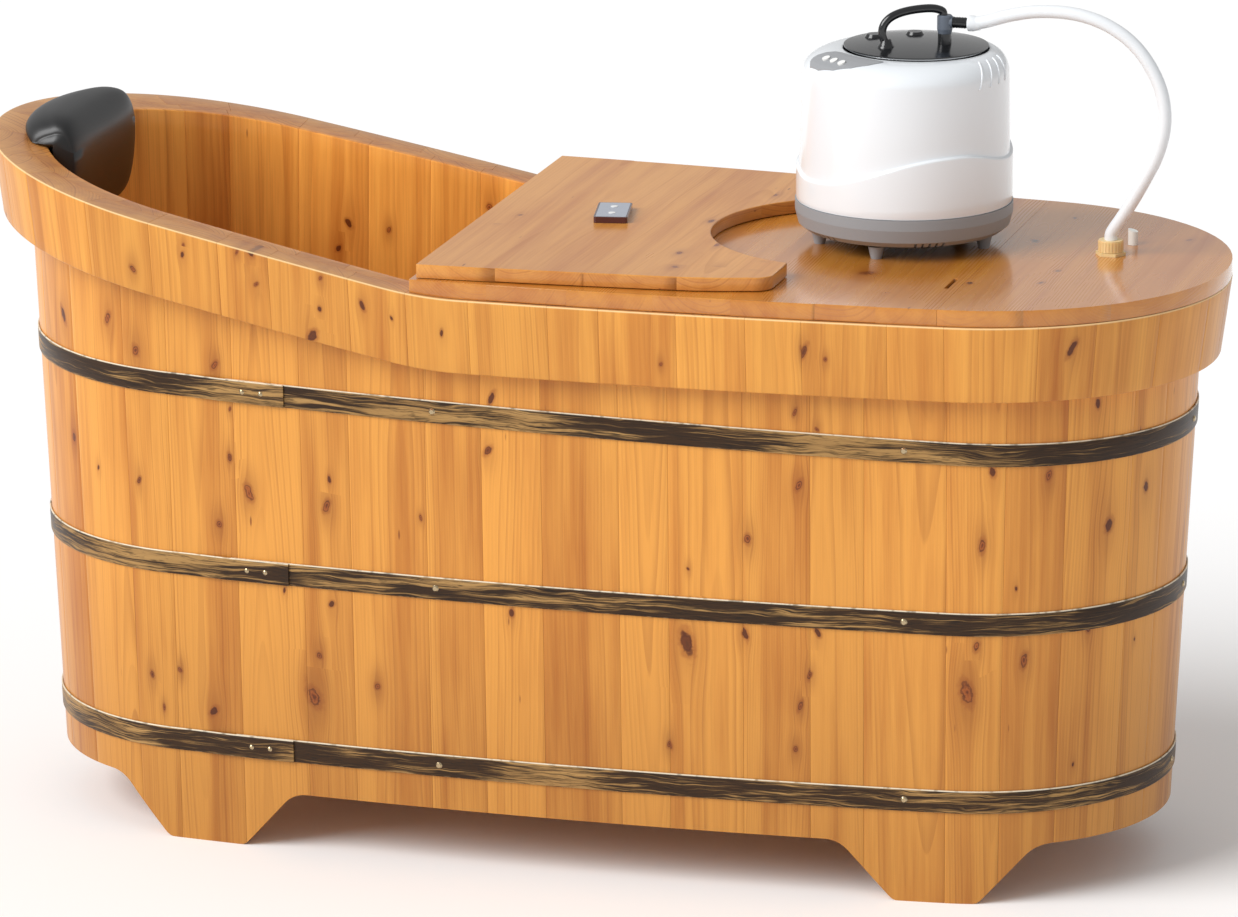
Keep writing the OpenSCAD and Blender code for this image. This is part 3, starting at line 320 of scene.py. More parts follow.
def timber_group():
    """Sawn softwood. Growth rings are cones round a pith behind the board: distance from the pith line
    plus a taper along the board, warped by noise, and pushed aside round the knot nearest the spot."""
    tree = bpy.data.node_groups.new("Timber", "ShaderNodeTree")
    ways_in = dict(Grain="Vector", Board="Vector", Knot="Vector", Pale="Color", Deep="Color", Line="Color",
                   Contrast="Float")
    for way, sockets in (("INPUT", ways_in), ("OUTPUT", dict(Color="Color", Height="Float", Gloss="Float"))):
        for title, kind in sockets.items():
            tree.interface.new_socket(title, in_out=way, socket_type="NodeSocket" + kind)
    i, o = tree.nodes.new("NodeGroupInput").outputs, tree.nodes.new("NodeGroupOutput").inputs
    add, sub, times, mix, step = tools(tree)
    vec, grit = partial(joined, tree), partial(noise, tree)

    def square(a):
        return times(a, a)

    def over(a, b):
        return calc(tree, "DIVIDE", a, b)

    across, depth, along = parts(tree, i["Grain"])
    r1, r2, r3 = parts(tree, i["Board"])
    knot_s, knot_z, knot_r = parts(tree, i["Knot"])
    ds, dz = sub(across, knot_s), sub(along, knot_z)
    u, v = over(ds, knot_r), over(dz, knot_r)
    spin = put(tree, "TexWhiteNoise", {"Vector": vec(knot_s, knot_z, 0.0)}, noise_dimensions="3D")
    kind, kind_2, kind_3 = parts(tree, spin.outputs["Color"])
    seat = times(r1, 40)

    # places drawn out along the grain
    def stretched(x, wide, deep, long):
        return vec(add(times(x, wide), seat), times(depth, deep), times(along, long))

    wobble = grit(vec(add(across, seat), depth, along), 150, 2)
    # each knot has its own length, lean and outline
    leant = add(u, times(v, times(sub(kind_3, 0.5), 0.8)))
    oval = calc(tree, "SQRT", add(square(leant), square(times(v, add(0.4, times(kind_2, 0.5))))))
    oval = add(oval, times(sub(wobble, 0.5), 0.9))
    reach = add(square(over(u, 2.2)), square(over(v, 5)))
    near = calc(tree, "EXPONENT", times(reach, -1))
    pushed = sub(across, times(times(ds, near), 0.8))
    # rings: distance from the pith, its taper and slow warps
    slow = grit(stretched(pushed, 9, 9, 1.7))
    pith = times(sub(r2, 0.5), 0.13)
    below = add(times(r3, 0.07), 0.012)
    rho = calc(tree, "SQRT", add(square(sub(pushed, pith)), square(add(depth, below))))
    lean = times(sub(calc(tree, "FRACT", times(r2, 7.3)), 0.5), 0.055)
    q = add(add(rho, times(along, lean)), times(slow, 0.022))
    rings = over(q, add(0.0021, times(r1, 0.0022)))
    within = calc(tree, "FRACT", rings)
    late = times(step(within, 0.15, 0.92), step(within, 0.93, 1.0, 1, 0))
    each = put(tree, "TexWhiteNoise", {"W": calc(tree, "FLOOR", rings)}, noise_dimensions="1D").outputs[0]
    late = times(late, add(0.1, times(square(each), 0.9)))
    fibre = grit(vec(times(pushed, 800), times(depth, 800), times(along, 12)))
    streak = grit(stretched(pushed, 42, 42, 1.6), 1, 4, 0.62)
    band, cloud = grit(stretched(across, 11, 11, 0.9)), grit(stretched(across, 8, 1, 3.5), 1, 3)
    body = add(times(sub(streak, 0.45), 1.8), times(sub(band, 0.42), 1.1))
    body = calc(tree, "ADD", add(body, times(sub(r3, 0.4), 0.3)), times(sub(cloud, 0.5), 0.8), clamp=True)
    tint = mix(body, i["Pale"], i["Deep"])
    tint = mix(times(times(late, 0.3), i["Contrast"], clamp=True), tint, i["Line"])
    tint = mix(times(sub(fibre, 0.5), 0.45, clamp=True), tint, i["Line"])
    # the stain round a knot, strongest above and below it
    tint = mix(times(near, add(0.16, times(kind, 0.3))), tint, i["Line"])
    halo = step(oval, 0.75, 1.4, 0.45, 0)
    tint = mix(halo, tint, rgb(140, 66, 20))
    # the knot: a dark bark ring, broken on some, round a heart that is pale on some and dark on others
    heart = step(oval, 0.5, 0.64, 1, 0)
    ring = times(step(oval, 0.34, 0.55), step(oval, 0.6, 0.78, 1, 0))
    inner = add(0.5, times(calc(tree, "SINE", times(oval, 9)), 0.5))
    pale_heart = mix(inner, rgb(176, 98, 40), rgb(132, 62, 20))
    heart_tint = mix(step(kind, 0.35, 0.65), KNOT_DARK, pale_heart)
    heart_tint = mix(step(oval, 0.1, 0.26, 0.8, 0), heart_tint, rgb(74, 30, 6))
    tint = mix(times(heart, 0.9), tint, heart_tint)
    tint = mix(times(ring, add(0.35, times(wobble, 0.8)), clamp=True), tint, KNOT_DARK)
    # thin dark resin marks that lie along the grain, in a few patches
    cell = put(tree, "TexVoronoi", {"Vector": stretched(across, 85, 85, 17), "Scale": 1.0},
               voronoi_dimensions="3D")
    lucky = step(parts(tree, cell.outputs["Color"])[0], 0.72, 0.74)
    patch = step(grit(stretched(across, 14, 1, 4), 1, 1), 0.5, 0.6)
    mark = times(times(step(cell.outputs["Distance"], 0.05, 0.13, 1, 0), lucky), patch)
    tint = mix(times(mark, 0.75), tint, rgb(112, 54, 20))
    final = put(tree, "HueSaturation", {"Value": add(0.93, times(r1, 0.12)), "Color": tint})
    tree.links.new(final.outputs[0], o["Color"])
    relief = sub(sub(times(fibre, 0.25), times(late, 0.3)), times(ring, 1.2))
    tree.links.new(relief, o["Height"])
    tree.links.new(add(times(late, 0.05), times(cloud, 0.1)), o["Gloss"])
    return tree


TIMBER, VARNISH, WOOD_BUMP = timber_group(), 0.24, 0.0003


def grown(tree, *inputs):
    """The group in a material, with its inputs in order. Gives its outputs."""
    return put(tree, "Group", dict(enumerate(inputs)), node_tree=TIMBER).outputs


def timber(name, pale, deep, line, contrast=1.0, rough=0.34, coat=0.25, gloss=0.16, relief=0.35,
           inside=1.0, floor_shade=1.0):
    """Varnished wood that follows the boards' own attributes. The attribute edge paints a highlight on
    rounded upper corners (x), dulls end grain (y) and paints shade inside slots (z). Faces on the inner side
    are paler by inside, which is painted light, and the tone eases towards the floor to its given share, a
    painted shade."""
    made, tree, shader = material(name, coat_weight=coat, coat_roughness=gloss, specular_ior_level=VARNISH)
    add, _, times, mix, step = tools(tree)
    grain, board, knot, edge = (stored(tree, n) for n in ("grain", "board", "knot", "edge"))
    edge_highlight, top, painted_slot_shade = parts(tree, edge)
    wood = grown(tree, grain, board, knot, pale, deep, line, add(contrast, times(top, 2.0)))
    _, behind, high = parts(tree, grain)
    # inner faces paler, which is painted light, and the tone darker towards the floor, which is painted shade
    share = times(step(behind, 0.012, 0.018, 1, inside), step(high, 0.0, 0.42, floor_shade, 1))
    colour = put(tree, "HueSaturation", {"Value": share, "Color": wood["Color"]}).outputs[0]
    colour = mix(times(top, 0.45), colour, rgb(178, 122, 84))
    # painted highlight: a pale cream line along rounded upper corners
    colour = mix(times(edge_highlight, 0.8), colour, rgb(246, 214, 158))
    # painted shade: a near-black brown inside the finger slot
    colour = mix(times(painted_slot_shade, 0.85), colour, rgb(52, 22, 8))
    wire(tree, shader, wood["Height"], WOOD_BUMP, relief, base_color=colour,
         roughness=add(rough, wood["Gloss"]))
    return made


def floor_timber(pale, deep, line):
    """The same wood on solids without attributes: Object coordinates, grain along X, boards 0.1 m wide."""
    made, tree, shader = material("floor wood", coat_weight=0.25, coat_roughness=0.16,
                                  specular_ior_level=VARNISH)
    x, y, z = parts(tree, put(tree, "TexCoord").outputs["Object"])
    which = calc(tree, "FLOOR", calc(tree, "DIVIDE", y, 0.1))
    board = put(tree, "TexWhiteNoise", {"W": which}, noise_dimensions="1D").outputs[1]
    wood = grown(tree, joined(tree, y, z, x), board, joined(tree, *NO_KNOT), pale, deep, line, 1.0)
    wire(tree, shader, wood["Height"], WOOD_BUMP, 0.35, base_color=wood["Color"],
         roughness=calc(tree, "ADD", 0.34, wood["Gloss"]))
    return made


def plastic(name, colour, rough, grain_size=900, bump=0.00002, mottle=0.03, **constants):
    """Moulded plastic, rubber or painted metal: an even colour with a faint cloud, fine-grained."""
    made, tree, shader = material(name, **constants)
    add, _, times, mix, _ = tools(tree)
    spot = put(tree, "TexCoord").outputs["Object"]
    cloud, colour = noise(tree, spot, 14, 3), rgb(*colour)
    tint = mix(times(cloud, mottle), colour, tuple(c * 0.4 for c in colour[:3]) + (1,))
    wire(tree, shader, noise(tree, spot, grain_size), bump, 0.6, base_color=tint,
         roughness=add(rough - 0.03, times(cloud, 0.06)))
    return made


def hoop_finish():
    """Dark paint brushed with bronze: long streaks along the strip, a painted highlight along the upper edge
    and a bare lower edge.
    """
    made, tree, shader = material("worn hoop", coat_weight=0.05, coat_roughness=0.35, specular_ior_level=0.2)
    add, sub, times, mix, step = tools(tree)
    run, up, which = parts(tree, stored(tree, "strip"))
    seat = times(which, 7.7)

    # noise drawn out along the strip
    def brushed(along, across, height, detail=2, rough=0.5):
        return noise(tree, joined(tree, times(run, along), times(height, across), seat), 1, detail, rough)

    high = add(up, times(sub(brushed(16, 60, up), 0.5), 0.012))
    streak, broad, zone = brushed(17, 760, high, 4, 0.6), brushed(9, 190, high), brushed(4.2, 20, up)
    bare = add(times(sub(streak, 0.5), 1.5), times(sub(broad, 0.5), 1.2))
    bronze = step(add(bare, times(sub(zone, 0.47), 1.7)), -0.04, 0.36)
    dark = mix(streak, rgb(24, 16, 9), rgb(72, 48, 27))
    gold = mix(broad, rgb(126, 92, 52), rgb(190, 150, 94))
    tint = mix(bronze, dark, gold)
    # small dark scratches, a painted highlight along the upper edge, broken by noise, and the bare lower edge
    tint = mix(step(brushed(60, 900, high), 0.54, 0.66, 0, 0.6), tint, rgb(26, 20, 16))
    chip = noise(tree, joined(tree, times(run, 90), 0.0, seat))
    # painted highlight: a near-white line along the upper edge
    rim = times(step(up, 0.0242, 0.0254), step(chip, 0.3, 0.5, 0.35, 0.95))
    tint = mix(rim, tint, rgb(226, 214, 190))
    foot = times(step(up, 0.0003, 0.0012, 1, 0), step(chip, 0.5, 0.62))
    tint = mix(times(foot, 0.4), tint, rgb(190, 160, 118))
    wire(tree, shader, add(streak, times(bronze, 0.4)), 0.0003, 0.6, base_color=tint,
         roughness=add(0.36, times(bronze, 0.1)), metallic=times(bronze, 0.3))
    return made


def base_finish():
    """Grey plastic whose flat underside, the lowest two millimetres of the base, is black: painted shade,
    which also darkens its reflection in the wood below.
    """
    made = plastic("grey base", (146, 149, 153), 0.42)
    tree = made.node_tree
    colour = tree.nodes["Principled BSDF"].inputs["Base Color"]
    high = parts(tree, put(tree, "TexCoord").outputs["Object"])[2]
    # painted shade: the underside is black
    under = calc(tree, "MULTIPLY", fade(tree, high, 0.69662, 0.69667), fade(tree, high, 0.6986, 0.6994, 1, 0))
    tree.links.new(mixed(tree, under, colour.links[0].from_socket, rgb(16, 16, 17)), colour)
    return made


FINISH = {
    # staves: inner faces paler (painted light) and darker towards the floor (painted shade)
    "stave_wood": timber("stave wood", rgb(222, 153, 68), rgb(158, 79, 17), rgb(118, 50, 9), inside=1.45,
                         floor_shade=0.72),
    "collar_wood": timber("collar wood", rgb(222, 154, 68), rgb(164, 85, 20), rgb(124, 54, 10)),
    "cover_wood": timber("cover wood", rgb(206, 136, 54), rgb(176, 100, 30), rgb(138, 66, 18), contrast=0.35,
                         rough=0.22, coat=0.9, gloss=0.12, relief=0.1),
    "board_wood": timber("neck board wood", rgb(222, 154, 72), rgb(184, 106, 34), rgb(138, 66, 18),
                         contrast=0.7, rough=0.24, coat=0.4, gloss=0.14, relief=0.15),
    "floor_wood": floor_timber(rgb(212, 144, 72), rgb(176, 100, 38), rgb(136, 68, 22)),
    "hoop_metal": hoop_finish(),
    "brass_fixings": plastic("bronze fixing", (186, 166, 132), 0.2, metallic=0.9),
    "steel_fixings": plastic("steel fixing", (196, 196, 198), 0.32, metallic=1.0),
    "steel_drain": plastic("steel drain", (204, 206, 208), 0.28, metallic=1.0),
    "black_rubber": plastic("black rubber", (30, 30, 31), 0.6),
    "seal": plastic("lid seal", (205, 205, 198), 0.5),
    "white_pipe": plastic("white pipe", (238, 238, 232), 0.35),
    "cream_plastic": plastic("cream fitting", (238, 204, 148), 0.35, subsurface_weight=0.1),
    "white_housing": plastic("white housing", (230, 234, 238), 0.22, coat_weight=0.6, coat_roughness=0.08,
                             bump=0.000004),
    "grey_plastic": base_finish(),
    "panel_grey": plastic("control panel", (150, 152, 155), 0.35),
    "button_white": plastic("white button", (236, 236, 234), 0.3),
    "black_plastic": plastic("black plastic", (17, 19, 22), 0.2, bump=0.000006, coat_weight=0.35,
                             coat_roughness=0.1),
    "blue_grey_plastic": plastic("blue grey block", (92, 100, 112), 0.34),
    "tank_metal": plastic("water tank", (200, 202, 204), 0.25, metallic=1.0),
    "heater_metal": plastic("heater", (150, 150, 152), 0.35, metallic=1.0),
    "circuit_board": plastic("circuit board", (50, 120, 76), 0.4),
    "hose_white": plastic("hose", (228, 231, 234), 0.3, subsurface_weight=0.15,
                          subsurface_radius=(0.01, 0.01, 0.01)),
    "pillow_cover": plastic("pillow cover", (22, 22, 23), 0.42, grain_size=700, bump=0.00003, mottle=0.2,
                            coat_weight=0.12, coat_roughness=0.2),
    "remote_dark": plastic("remote case", (74, 30, 32), 0.2, coat_weight=0.6),
    "remote_silver": plastic("remote face", (186, 192, 204), 0.3, metallic=0.4),
}


# ---- camera and hose

# The photograph's viewpoint: turn and tip in degrees, focal length for a 36 mm sensor, and place
VIEW_TURN, VIEW_TIP, LENS, EYE = 15.69645, 14.69726, 216.02, (2.19706 + SHIFT / 1000, -7.78775, 2.54031)


def look():
    """The camera: a long lens, a little to the right of the tub and above it."""
    turn, tip = radians(VIEW_TURN), radians(VIEW_TIP)
    lens = bpy.data.cameras.new("camera")
    lens.lens, lens.sensor_width, lens.clip_end = LENS, 36, 100
    eye = bpy.context.scene.camera = placed("camera", lens)
    eye.location = EYE
    ahead = Vector((-sin(turn) * cos(tip), cos(turn) * cos(tip), -sin(tip)))
    eye.rotation_euler = ahead.to_track_quat("-Z", "Y").to_euler()


# The hose's middle line, along the tub and up, from the barb to the nut; how far behind the tub's middle
# it starts, and how much nearer to the front it ends
HOSE = np.array([(397.1, 931.92), (400.1, 931.92), (405, 932.6), (414, 934), (426, 937.5), (440, 942),
                 (456, 946), (474, 949), (492, 950), (510, 949.5), (528, 946.8), (546, 941.5), (563, 933.5),
                 (579, 922.5), (593, 908.5), (605, 891), (614, 872), (619, 852), (620, 832), (617, 812),
                 (611, 793), (602.5, 775), (593, 757), (583.5, 740), (574.5, 725), (567, 713.5),
                 (563.3, 707), (562.5, 703.5), (562.5, 699.6)])
HOSE_D, HOSE_Y, HOSE_VEER = 14.5, 35, 5.5


def flowing(points, steps):
    """A smooth curve through all the points (Catmull-Rom), each stretch in so many steps."""
    p = np.vstack([2 * points[0] - points[1], points, 2 * points[-1] - points[-2]])
    t = (np.arange(steps) / steps)[None, :, None]
    a, b, c, d = (p[k:len(p) - 3 + k, None, :] for k in range(4))
    run = 0.5 * (2 * b + (c - a) * t + (2 * a - 5 * b + 4 * c - d) * t**2 + (3 * b - a - 3 * c + d) * t**3)
    return np.vstack([run.reshape(-1, points.shape[1]), points[-1:]])


def hose():
    """The steam hose: one curve from the barb to the nut, straight and square at both, which veers evenly to
    the front; a short cuff, turned about the hose, swells its end at the barb."""
    veer = HOSE_VEER * np.clip((np.arange(len(HOSE)) - 1) / (len(HOSE) - 3), 0, 1)
    route = np.stack([HOSE[:, 0] + SHIFT, HOSE_Y - veer, HOSE[:, 1]], -1) / 1000
    line = flowing(route, 4)
    curve = bpy.data.curves.new("steam_hose_tube", "CURVE")
    curve.dimensions = "3D"
    run = curve.splines.new("POLY")
    run.points.add(len(line) - 1)
    run.points.foreach_set("co", np.hstack([line, np.ones((len(line), 1))]).ravel())
    curve.bevel_depth, curve.bevel_resolution, curve.use_fill_caps = HOSE_D / 2000, 8, True
    curve.materials.append(FINISH["hose_white"])
    run.use_smooth = True
    tube = placed("steam_hose_tube", curve)
    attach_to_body(tube, "lid")
    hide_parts("steam_hose")
    swell = [(0.2, 6.9), (0, 7.6), (0.6, 8.6), (2, 8.9), (6, 8.8), (9, 8), (12, 7.35), (14, 7.2)]
    cuff = turned("hose_cuff", swell, (HOSE[0, 0], HOSE_Y, HOSE[0, 1]), (1, 0, 0), "lid", "hose_white")


# ---- staves and collar

# Knots seen in the photograph, as (x, height, radius) on the side's outer face
KNOTS = {
    "staves_front": [
        (-482, 417, 5), (-370, 455, 4), (-348, 416, 7), (-385, 376, 5), (-368, 511, 2.5),
        (-252, 440, 3), (-256, 409, 6), (-67, 488, 6), (-62, 548, 5), (-146, 405, 2.5), (-309, 306, 2.5),
        (-253, 295, 5), (-269, 234, 5), (-201, 204, 5), (-276, 184, 11), (-398, 155, 7), (-459, 153, 3),
        (-473, 190, 5), (-438, 200, 4), (-43, 303, 5), (302, 536, 3), (282, 472, 5),
        (225, 407, 6), (156, 284, 11), (221, 299, 5), (302, 305, 5), (293, 256, 4), (282, 219, 4),
        (277, 169, 4), (135, 165, 4), (158, 369, 2.5), (-385, 560, 5), (278, 554, 3)],
    "staves_foot": [(492, 496, 6), (548, 490, 6), (481, 413, 6), (604, 425, 9), (635, 459, 7), (516, 363, 3),
                    (465, 245, 12), (524, 281, 7), (585, 310, 5), (594, 565, 5)],
    "staves_head": [(-575, 448, 6), (-538, 422, 3), (-517, 600, 6), (-585, 589, 7), (-481, 568, 7),
                    (-482, 417, 5), (-459, 153, 3), (-473, 190, 5)],
    "collar_front": [(-408, 692, 3), (-406, 703, 2.5), (-327, 702, 5), (-322, 665, 4), (-343, 700, 2.5),
                     (-246, 678, 3.5), (-249, 642, 3.5), (-259, 610, 8), (-199, 650, 4), (-166, 638, 2.5),
                     (-109, 625, 3), (137, 606, 3), (295, 630, 5), (318, 622, 3)],
    "collar_foot": [(576, 638, 6)],
    "collar_head": [(-469, 670, 5)],
    "staves_back": [(-384, 615, 6), (-396, 585, 5), (-216, 642, 5), (-336, 609, 4)],
}


# The least rounding of a board's corners, in millimetres
CORNER = 0.35


def sections(outer_inset, inner_inset, side_inset, cells):
    """Rings round a board's section, one per row, moved in by the insets: shares across and through the
    board, and millimetres to add to each. The ring goes over the outer face and back over the inner."""
    m = side_inset[:, None]
    wide = np.maximum(CORNER, m)
    bend = np.radians([90, 45, 0])
    t = np.linspace(0, 1, cells + 1)[1:-1]
    over = [wide - (wide - m) * np.sin(bend), wide * (1 - 2 * t), -(wide - (wide - m) * np.sin(bend[::-1]))]
    sides = []
    for n in (outer_inset[:, None], inner_inset[:, None]):
        deep = np.maximum(CORNER, n)
        sides.append([deep - (deep - n) * np.cos(bend), n + 0 * t, deep - (deep - n) * np.cos(bend[::-1])])
    share = np.concatenate([[0] * 3, t, [1] * 3])
    over, down, rise = (np.concatenate([b + 0 * m for b in band], 1) for band in (over, *sides))
    return (np.concatenate([share, share[::-1]]), np.concatenate([over, over[:, ::-1]], 1),
            np.concatenate([0 * share, 1 + 0 * share]), np.concatenate([down, -rise[:, ::-1]], 1))


def board_grid(arc, a0, a1, outer, inner, low, high, round_low, round_high, rounded, pale, rows):
    """One upright board of a round wall: rings at heights from low(x) to high(x), with rounded ends, each
    point at an angle round the arc and a depth behind its outer face. The outer and the inner face are
    rounded by their shares in rounded. Gives places, grain places and edges."""
    cx, cy, radius = arc[:3]
    width = radians(a1 - a0) * (radius - outer(RIM_Z))
    cells = max(6, round(width / CELL))
    bend = np.radians([0, 30, 60, 90])
    ends = [(size * (1 - np.sin(bend)), size * (1 - np.cos(bend))) for size in (round_low, round_high)]
    middle = np.linspace(0, 1, rows)[1:-1]
    inset = np.concatenate([ends[0][0], 0 * middle, ends[1][0][::-1]])
    rise = np.concatenate([0 * bend, middle, 1 + 0 * bend])
    extra = np.concatenate([ends[0][1], 0 * middle, -ends[1][1][::-1]])
    share_s, add_s, share_d, add_d = sections(inset * rounded[0], inset * rounded[1], inset * 0.1, cells)
    # the last four rings go over the upper edge
    flat = np.zeros(len(rise) - 4)
    # painted highlight along the outer upper edge, scaled by pale
    edge_highlight = pale * np.concatenate([flat, [0, 0.9, 1, 0.2]])[:, None] * (1 - share_d)
    end_grain = np.concatenate([flat, [0, 0.1, 0.5, 1]])[:, None]

    def where(z):
        thick = inner(z) - outer(z)
        d = share_d * thick + add_d
        r = radius - outer(z) - d
        a = np.radians(a0 + (a1 - a0) * share_s) + add_s / r
        return cx + r * np.cos(a), cy + r * np.sin(a), d, a

    floor, top = 0 * add_s, RIM_Z + 0 * add_s
    for _ in range(4):  # the edges' heights depend on x, which depends on the height
        floor, top = low(where(floor)[0]), high(where(top)[0])
    z = floor + round_low + (top - round_high - floor - round_low) * rise[:, None]
    z = np.where(rise[:, None] <= 0, floor + extra[:, None], z)
    z = np.where(rise[:, None] >= 1, top + extra[:, None], z)
    x, y, d, a = where(z)
    across = (a - radians((a0 + a1) / 2)) * radius
    spot, grain = np.stack([x, y, z], -1), np.stack([across, d, z], -1) / 1000
    edge = np.stack([edge_highlight + 0 * x, end_grain + 0 * x, 0 * x], -1)
    return tuple(np.concatenate([folded(g[:1]), g, folded(g[-1:])]) for g in (spot, grain, edge))


# Width of a board's faces; half a joint between boards; knots at the size that the picture shows
CELL, JOINT, KNOT_SIZE = 4.5, 0.06, 0.86


def wall(name, part, count, seed, outer, inner, low, high, rounds, rounded, pale, rows, slot, chance):
    """A row of upright boards round one arc, their widths varied as sawn timber's are, as one piece."""
    arc = ARCS[part]
    rng = np.random.default_rng(seed)
    share = 1 + 0.24 * np.sin(np.radians(seed + 137 * np.arange(count)))
    edges = arc[3] + (arc[4] - arc[3]) * np.concatenate([[0], np.cumsum(share)]) / share.sum()
    gap = degrees(JOINT / arc[2])
    points, faces, grains, luck, knots, highlights_and_end_grain, start = [], [], [], [], [], [], 0
    behind = 1 if part == "back" else -1
    seen = [(degrees(atan2(behind * half_width(x, outer(z)) - arc[1], x - arc[0])) % 360, z, KNOT_SIZE * r)
            for x, z, r in KNOTS.get(name, ())]
    for k in range(count):
        a0, a1 = edges[k] + gap, edges[k + 1] - gap
        spot, grain, edge = board_grid(arc, a0, a1, outer, inner, low, high, *rounds, rounded, pale, rows)
        quads = skin(spot)
        middle = (a0 + a1) / 2
        mine = [(radians((a - middle + 180) % 360 - 180) * arc[2], z, r) for a, z, r in seen
                if abs((a - middle + 180) % 360 - 180) < (a1 - a0) / 2 + 1]
        if chance:
            lo, hi = spot[..., 2].min(), spot[..., 2].max()
            for z in np.arange(lo + 30, hi - 20, 68):
                if rng.random() < chance:
                    mine.append((rng.uniform(-0.36, 0.36) * radians(a1 - a0) * arc[2],
                                 z + rng.uniform(-22, 22), rng.choice([2, 2, 2.5, 3, 4, 5])))
        flat = grain.reshape(-1, 3)
        centre = flat[quads].mean(axis=1)[:, [0, 2]]
        knots.append(nearest(centre, np.array(mine).reshape(-1, 3) / 1000))
        luck.append(np.tile(rng.random(3), (len(flat), 1)))
        points.append(spot.reshape(-1, 3))
        grains.append(flat)
        highlights_and_end_grain.append(edge.reshape(-1, 3))
        faces.append(quads + start)
        start += len(flat)
    thing = piece(name + "_boards", np.vstack(points), np.vstack(faces), "tub", slot, (name,))
    for title, values, domain in (("grain", grains, "POINT"), ("board", luck, "POINT"),
                                  ("knot", knots, "FACE"), ("edge", highlights_and_end_grain, "POINT")):
        attach(thing.data, title, np.vstack(values), domain)
    merged(thing.data)


def tub():
    """All the staves, with feet and arches cut along their lower edge, and the collar round the rim."""
    for part, count, seed in (("front", 12, 20), ("back", 12, 75), ("head", 10, 130), ("foot", 10, 210)):
        wall("staves_" + part, part, count, seed, wall_out, wall_in, arch_line, rim_line, (1.5, 1.6),
             (0.04, 1.0), 0.0, 34, "stave_wood", 0.0 if part == "front" else 0.09)
    # the collars carry a painted highlight along their outer upper edge (1.0); the staves above carry none
    # (0.0)
    for part, count, seed in (("front", 12, 160), ("back", 12, 240), ("head", 10, 35), ("foot", 10, 95)):
        wall("collar_" + part, part, count, seed, collar_out, collar_in, lambda x: rim_line(x) - COLLAR_H,
             rim_line, (1.6, 2.0), (1.0, 0.02), 1.0, 7, "collar_wood", 0.0 if part == "front" else 0.12)


# ---- hoops

# Height of each hoop's upper edge over the tub's middle, its tilt in degrees, and the strip's section
HOOP_TOPS, HOOP_TILTS, HOOP_H, HOOP_T, HOOP_ROUND = (131.5, 337.5, 538.5), (0, 0.23, 1.21), 26.0, 2.0, 0.8
# Where a strip's ends lap, how long, over what length the upper end climbs, and the strip's play
LAP_X, LAP_RUN, LAP_START, LAP_CLIMB, LAP_PLAY, HOOP_GAP = -375.0, 70.0, -420.0, 40, 0.1, 0.25


def hoop(name, which):
    """A strip of metal round the staves, a rounded oblong carried along the outline at the wall's lean;
    its last stretch rises over its first and lies on it."""
    top, tilt = HOOP_TOPS[which], tan(radians(HOOP_TILTS[which]))

    # the front arc's angle at x
    def side(x):
        return 270 + degrees(np.arcsin(x / SIDE_R))

    legs = [("front", side(LAP_X), 360 - JOIN, 60), ("foot", -JOIN, JOIN, 110),
            ("back", JOIN, 180 - JOIN, 60), ("head", 180 - JOIN, 180 + JOIN, 110),
            ("front", 180 + JOIN, side(LAP_X + LAP_RUN), 24)]
    walk = [np.column_stack([np.tile(ARCS[p][:3], (n + 1, 1)), np.linspace(a, b, n + 1)])[min(k, 1):]
            for k, (p, a, b, n) in enumerate(legs)]
    last = sum(map(len, walk[:-1]))
    walk = np.vstack(walk)
    a = np.radians(walk[:, 3])
    x = walk[:, 0] + (walk[:, 2] - wall_out(top)) * np.cos(a)
    climb = (HOOP_T + LAP_PLAY) * np.clip((x - LAP_START) / LAP_CLIMB, 0, 1)
    lift = np.where(np.arange(len(walk)) < last, 0, climb) + HOOP_GAP
    ease = np.radians([0, 45, 90])
    dip_sin, dip_cos = HOOP_ROUND * (1 - np.sin(ease)), HOOP_ROUND * (1 - np.cos(ease))
    out = np.concatenate([dip_cos, HOOP_T - dip_sin, [HOOP_T], HOOP_T - dip_cos, dip_sin])
    up = np.concatenate([dip_sin - HOOP_H, dip_cos - HOOP_H, [-HOOP_H / 2], -dip_sin, -dip_cos])
    z = (top - x * tilt)[:, None] + up
    r = walk[:, 2, None] - wall_out(z) + lift[:, None] + out
    x, y = (walk[:, k, None] + r * turn(a)[:, None] for k, turn in enumerate((np.cos, np.sin)))
    spot = np.stack([x, y, z], -1)
    far = np.concatenate([[0], np.cumsum(np.linalg.norm(np.diff(spot[:, 0], axis=0), axis=1))])
    strip = np.stack([far[:, None] + 0 * z, up + HOOP_H + 0 * z, 1000.0 * which + 0 * z], -1) / 1000
    count, ring = z.shape
    faces = skin(spot).tolist() + [list(range(ring)), list(range((count - 1) * ring, count * ring))[::-1]]
    thing = piece(name + "_strip", spot, faces, "tub", "hoop_metal", (name,))
    attach(thing.data, "strip", strip.reshape(-1, 3))


# ---- head pad

# The pad's section from the rim's inner edge, across and up; its width, its front, the share of its section
# left at the ends, the point towards which it shrinks there, the middle of the domes and its play on the wood
PAD = np.array([[1.5, -84], [1.5, -44], [1.5, -2], [-14, 4.2], [-23, 7], [-28, 12.5], [-22, 21], [-7, 28.5],
                [16, 33], [40, 28], [55, 8], [58, -20], [53, -55], [42, -85], [25, -101], [8, -99]], float)
PAD_W, PAD_FRONT, PAD_END, PAD_MID, PAD_HEART, PAD_PLAY = 210.0, -595.0, 0.74, (8.0, -28.0), (6.0, 6.0), 1.5


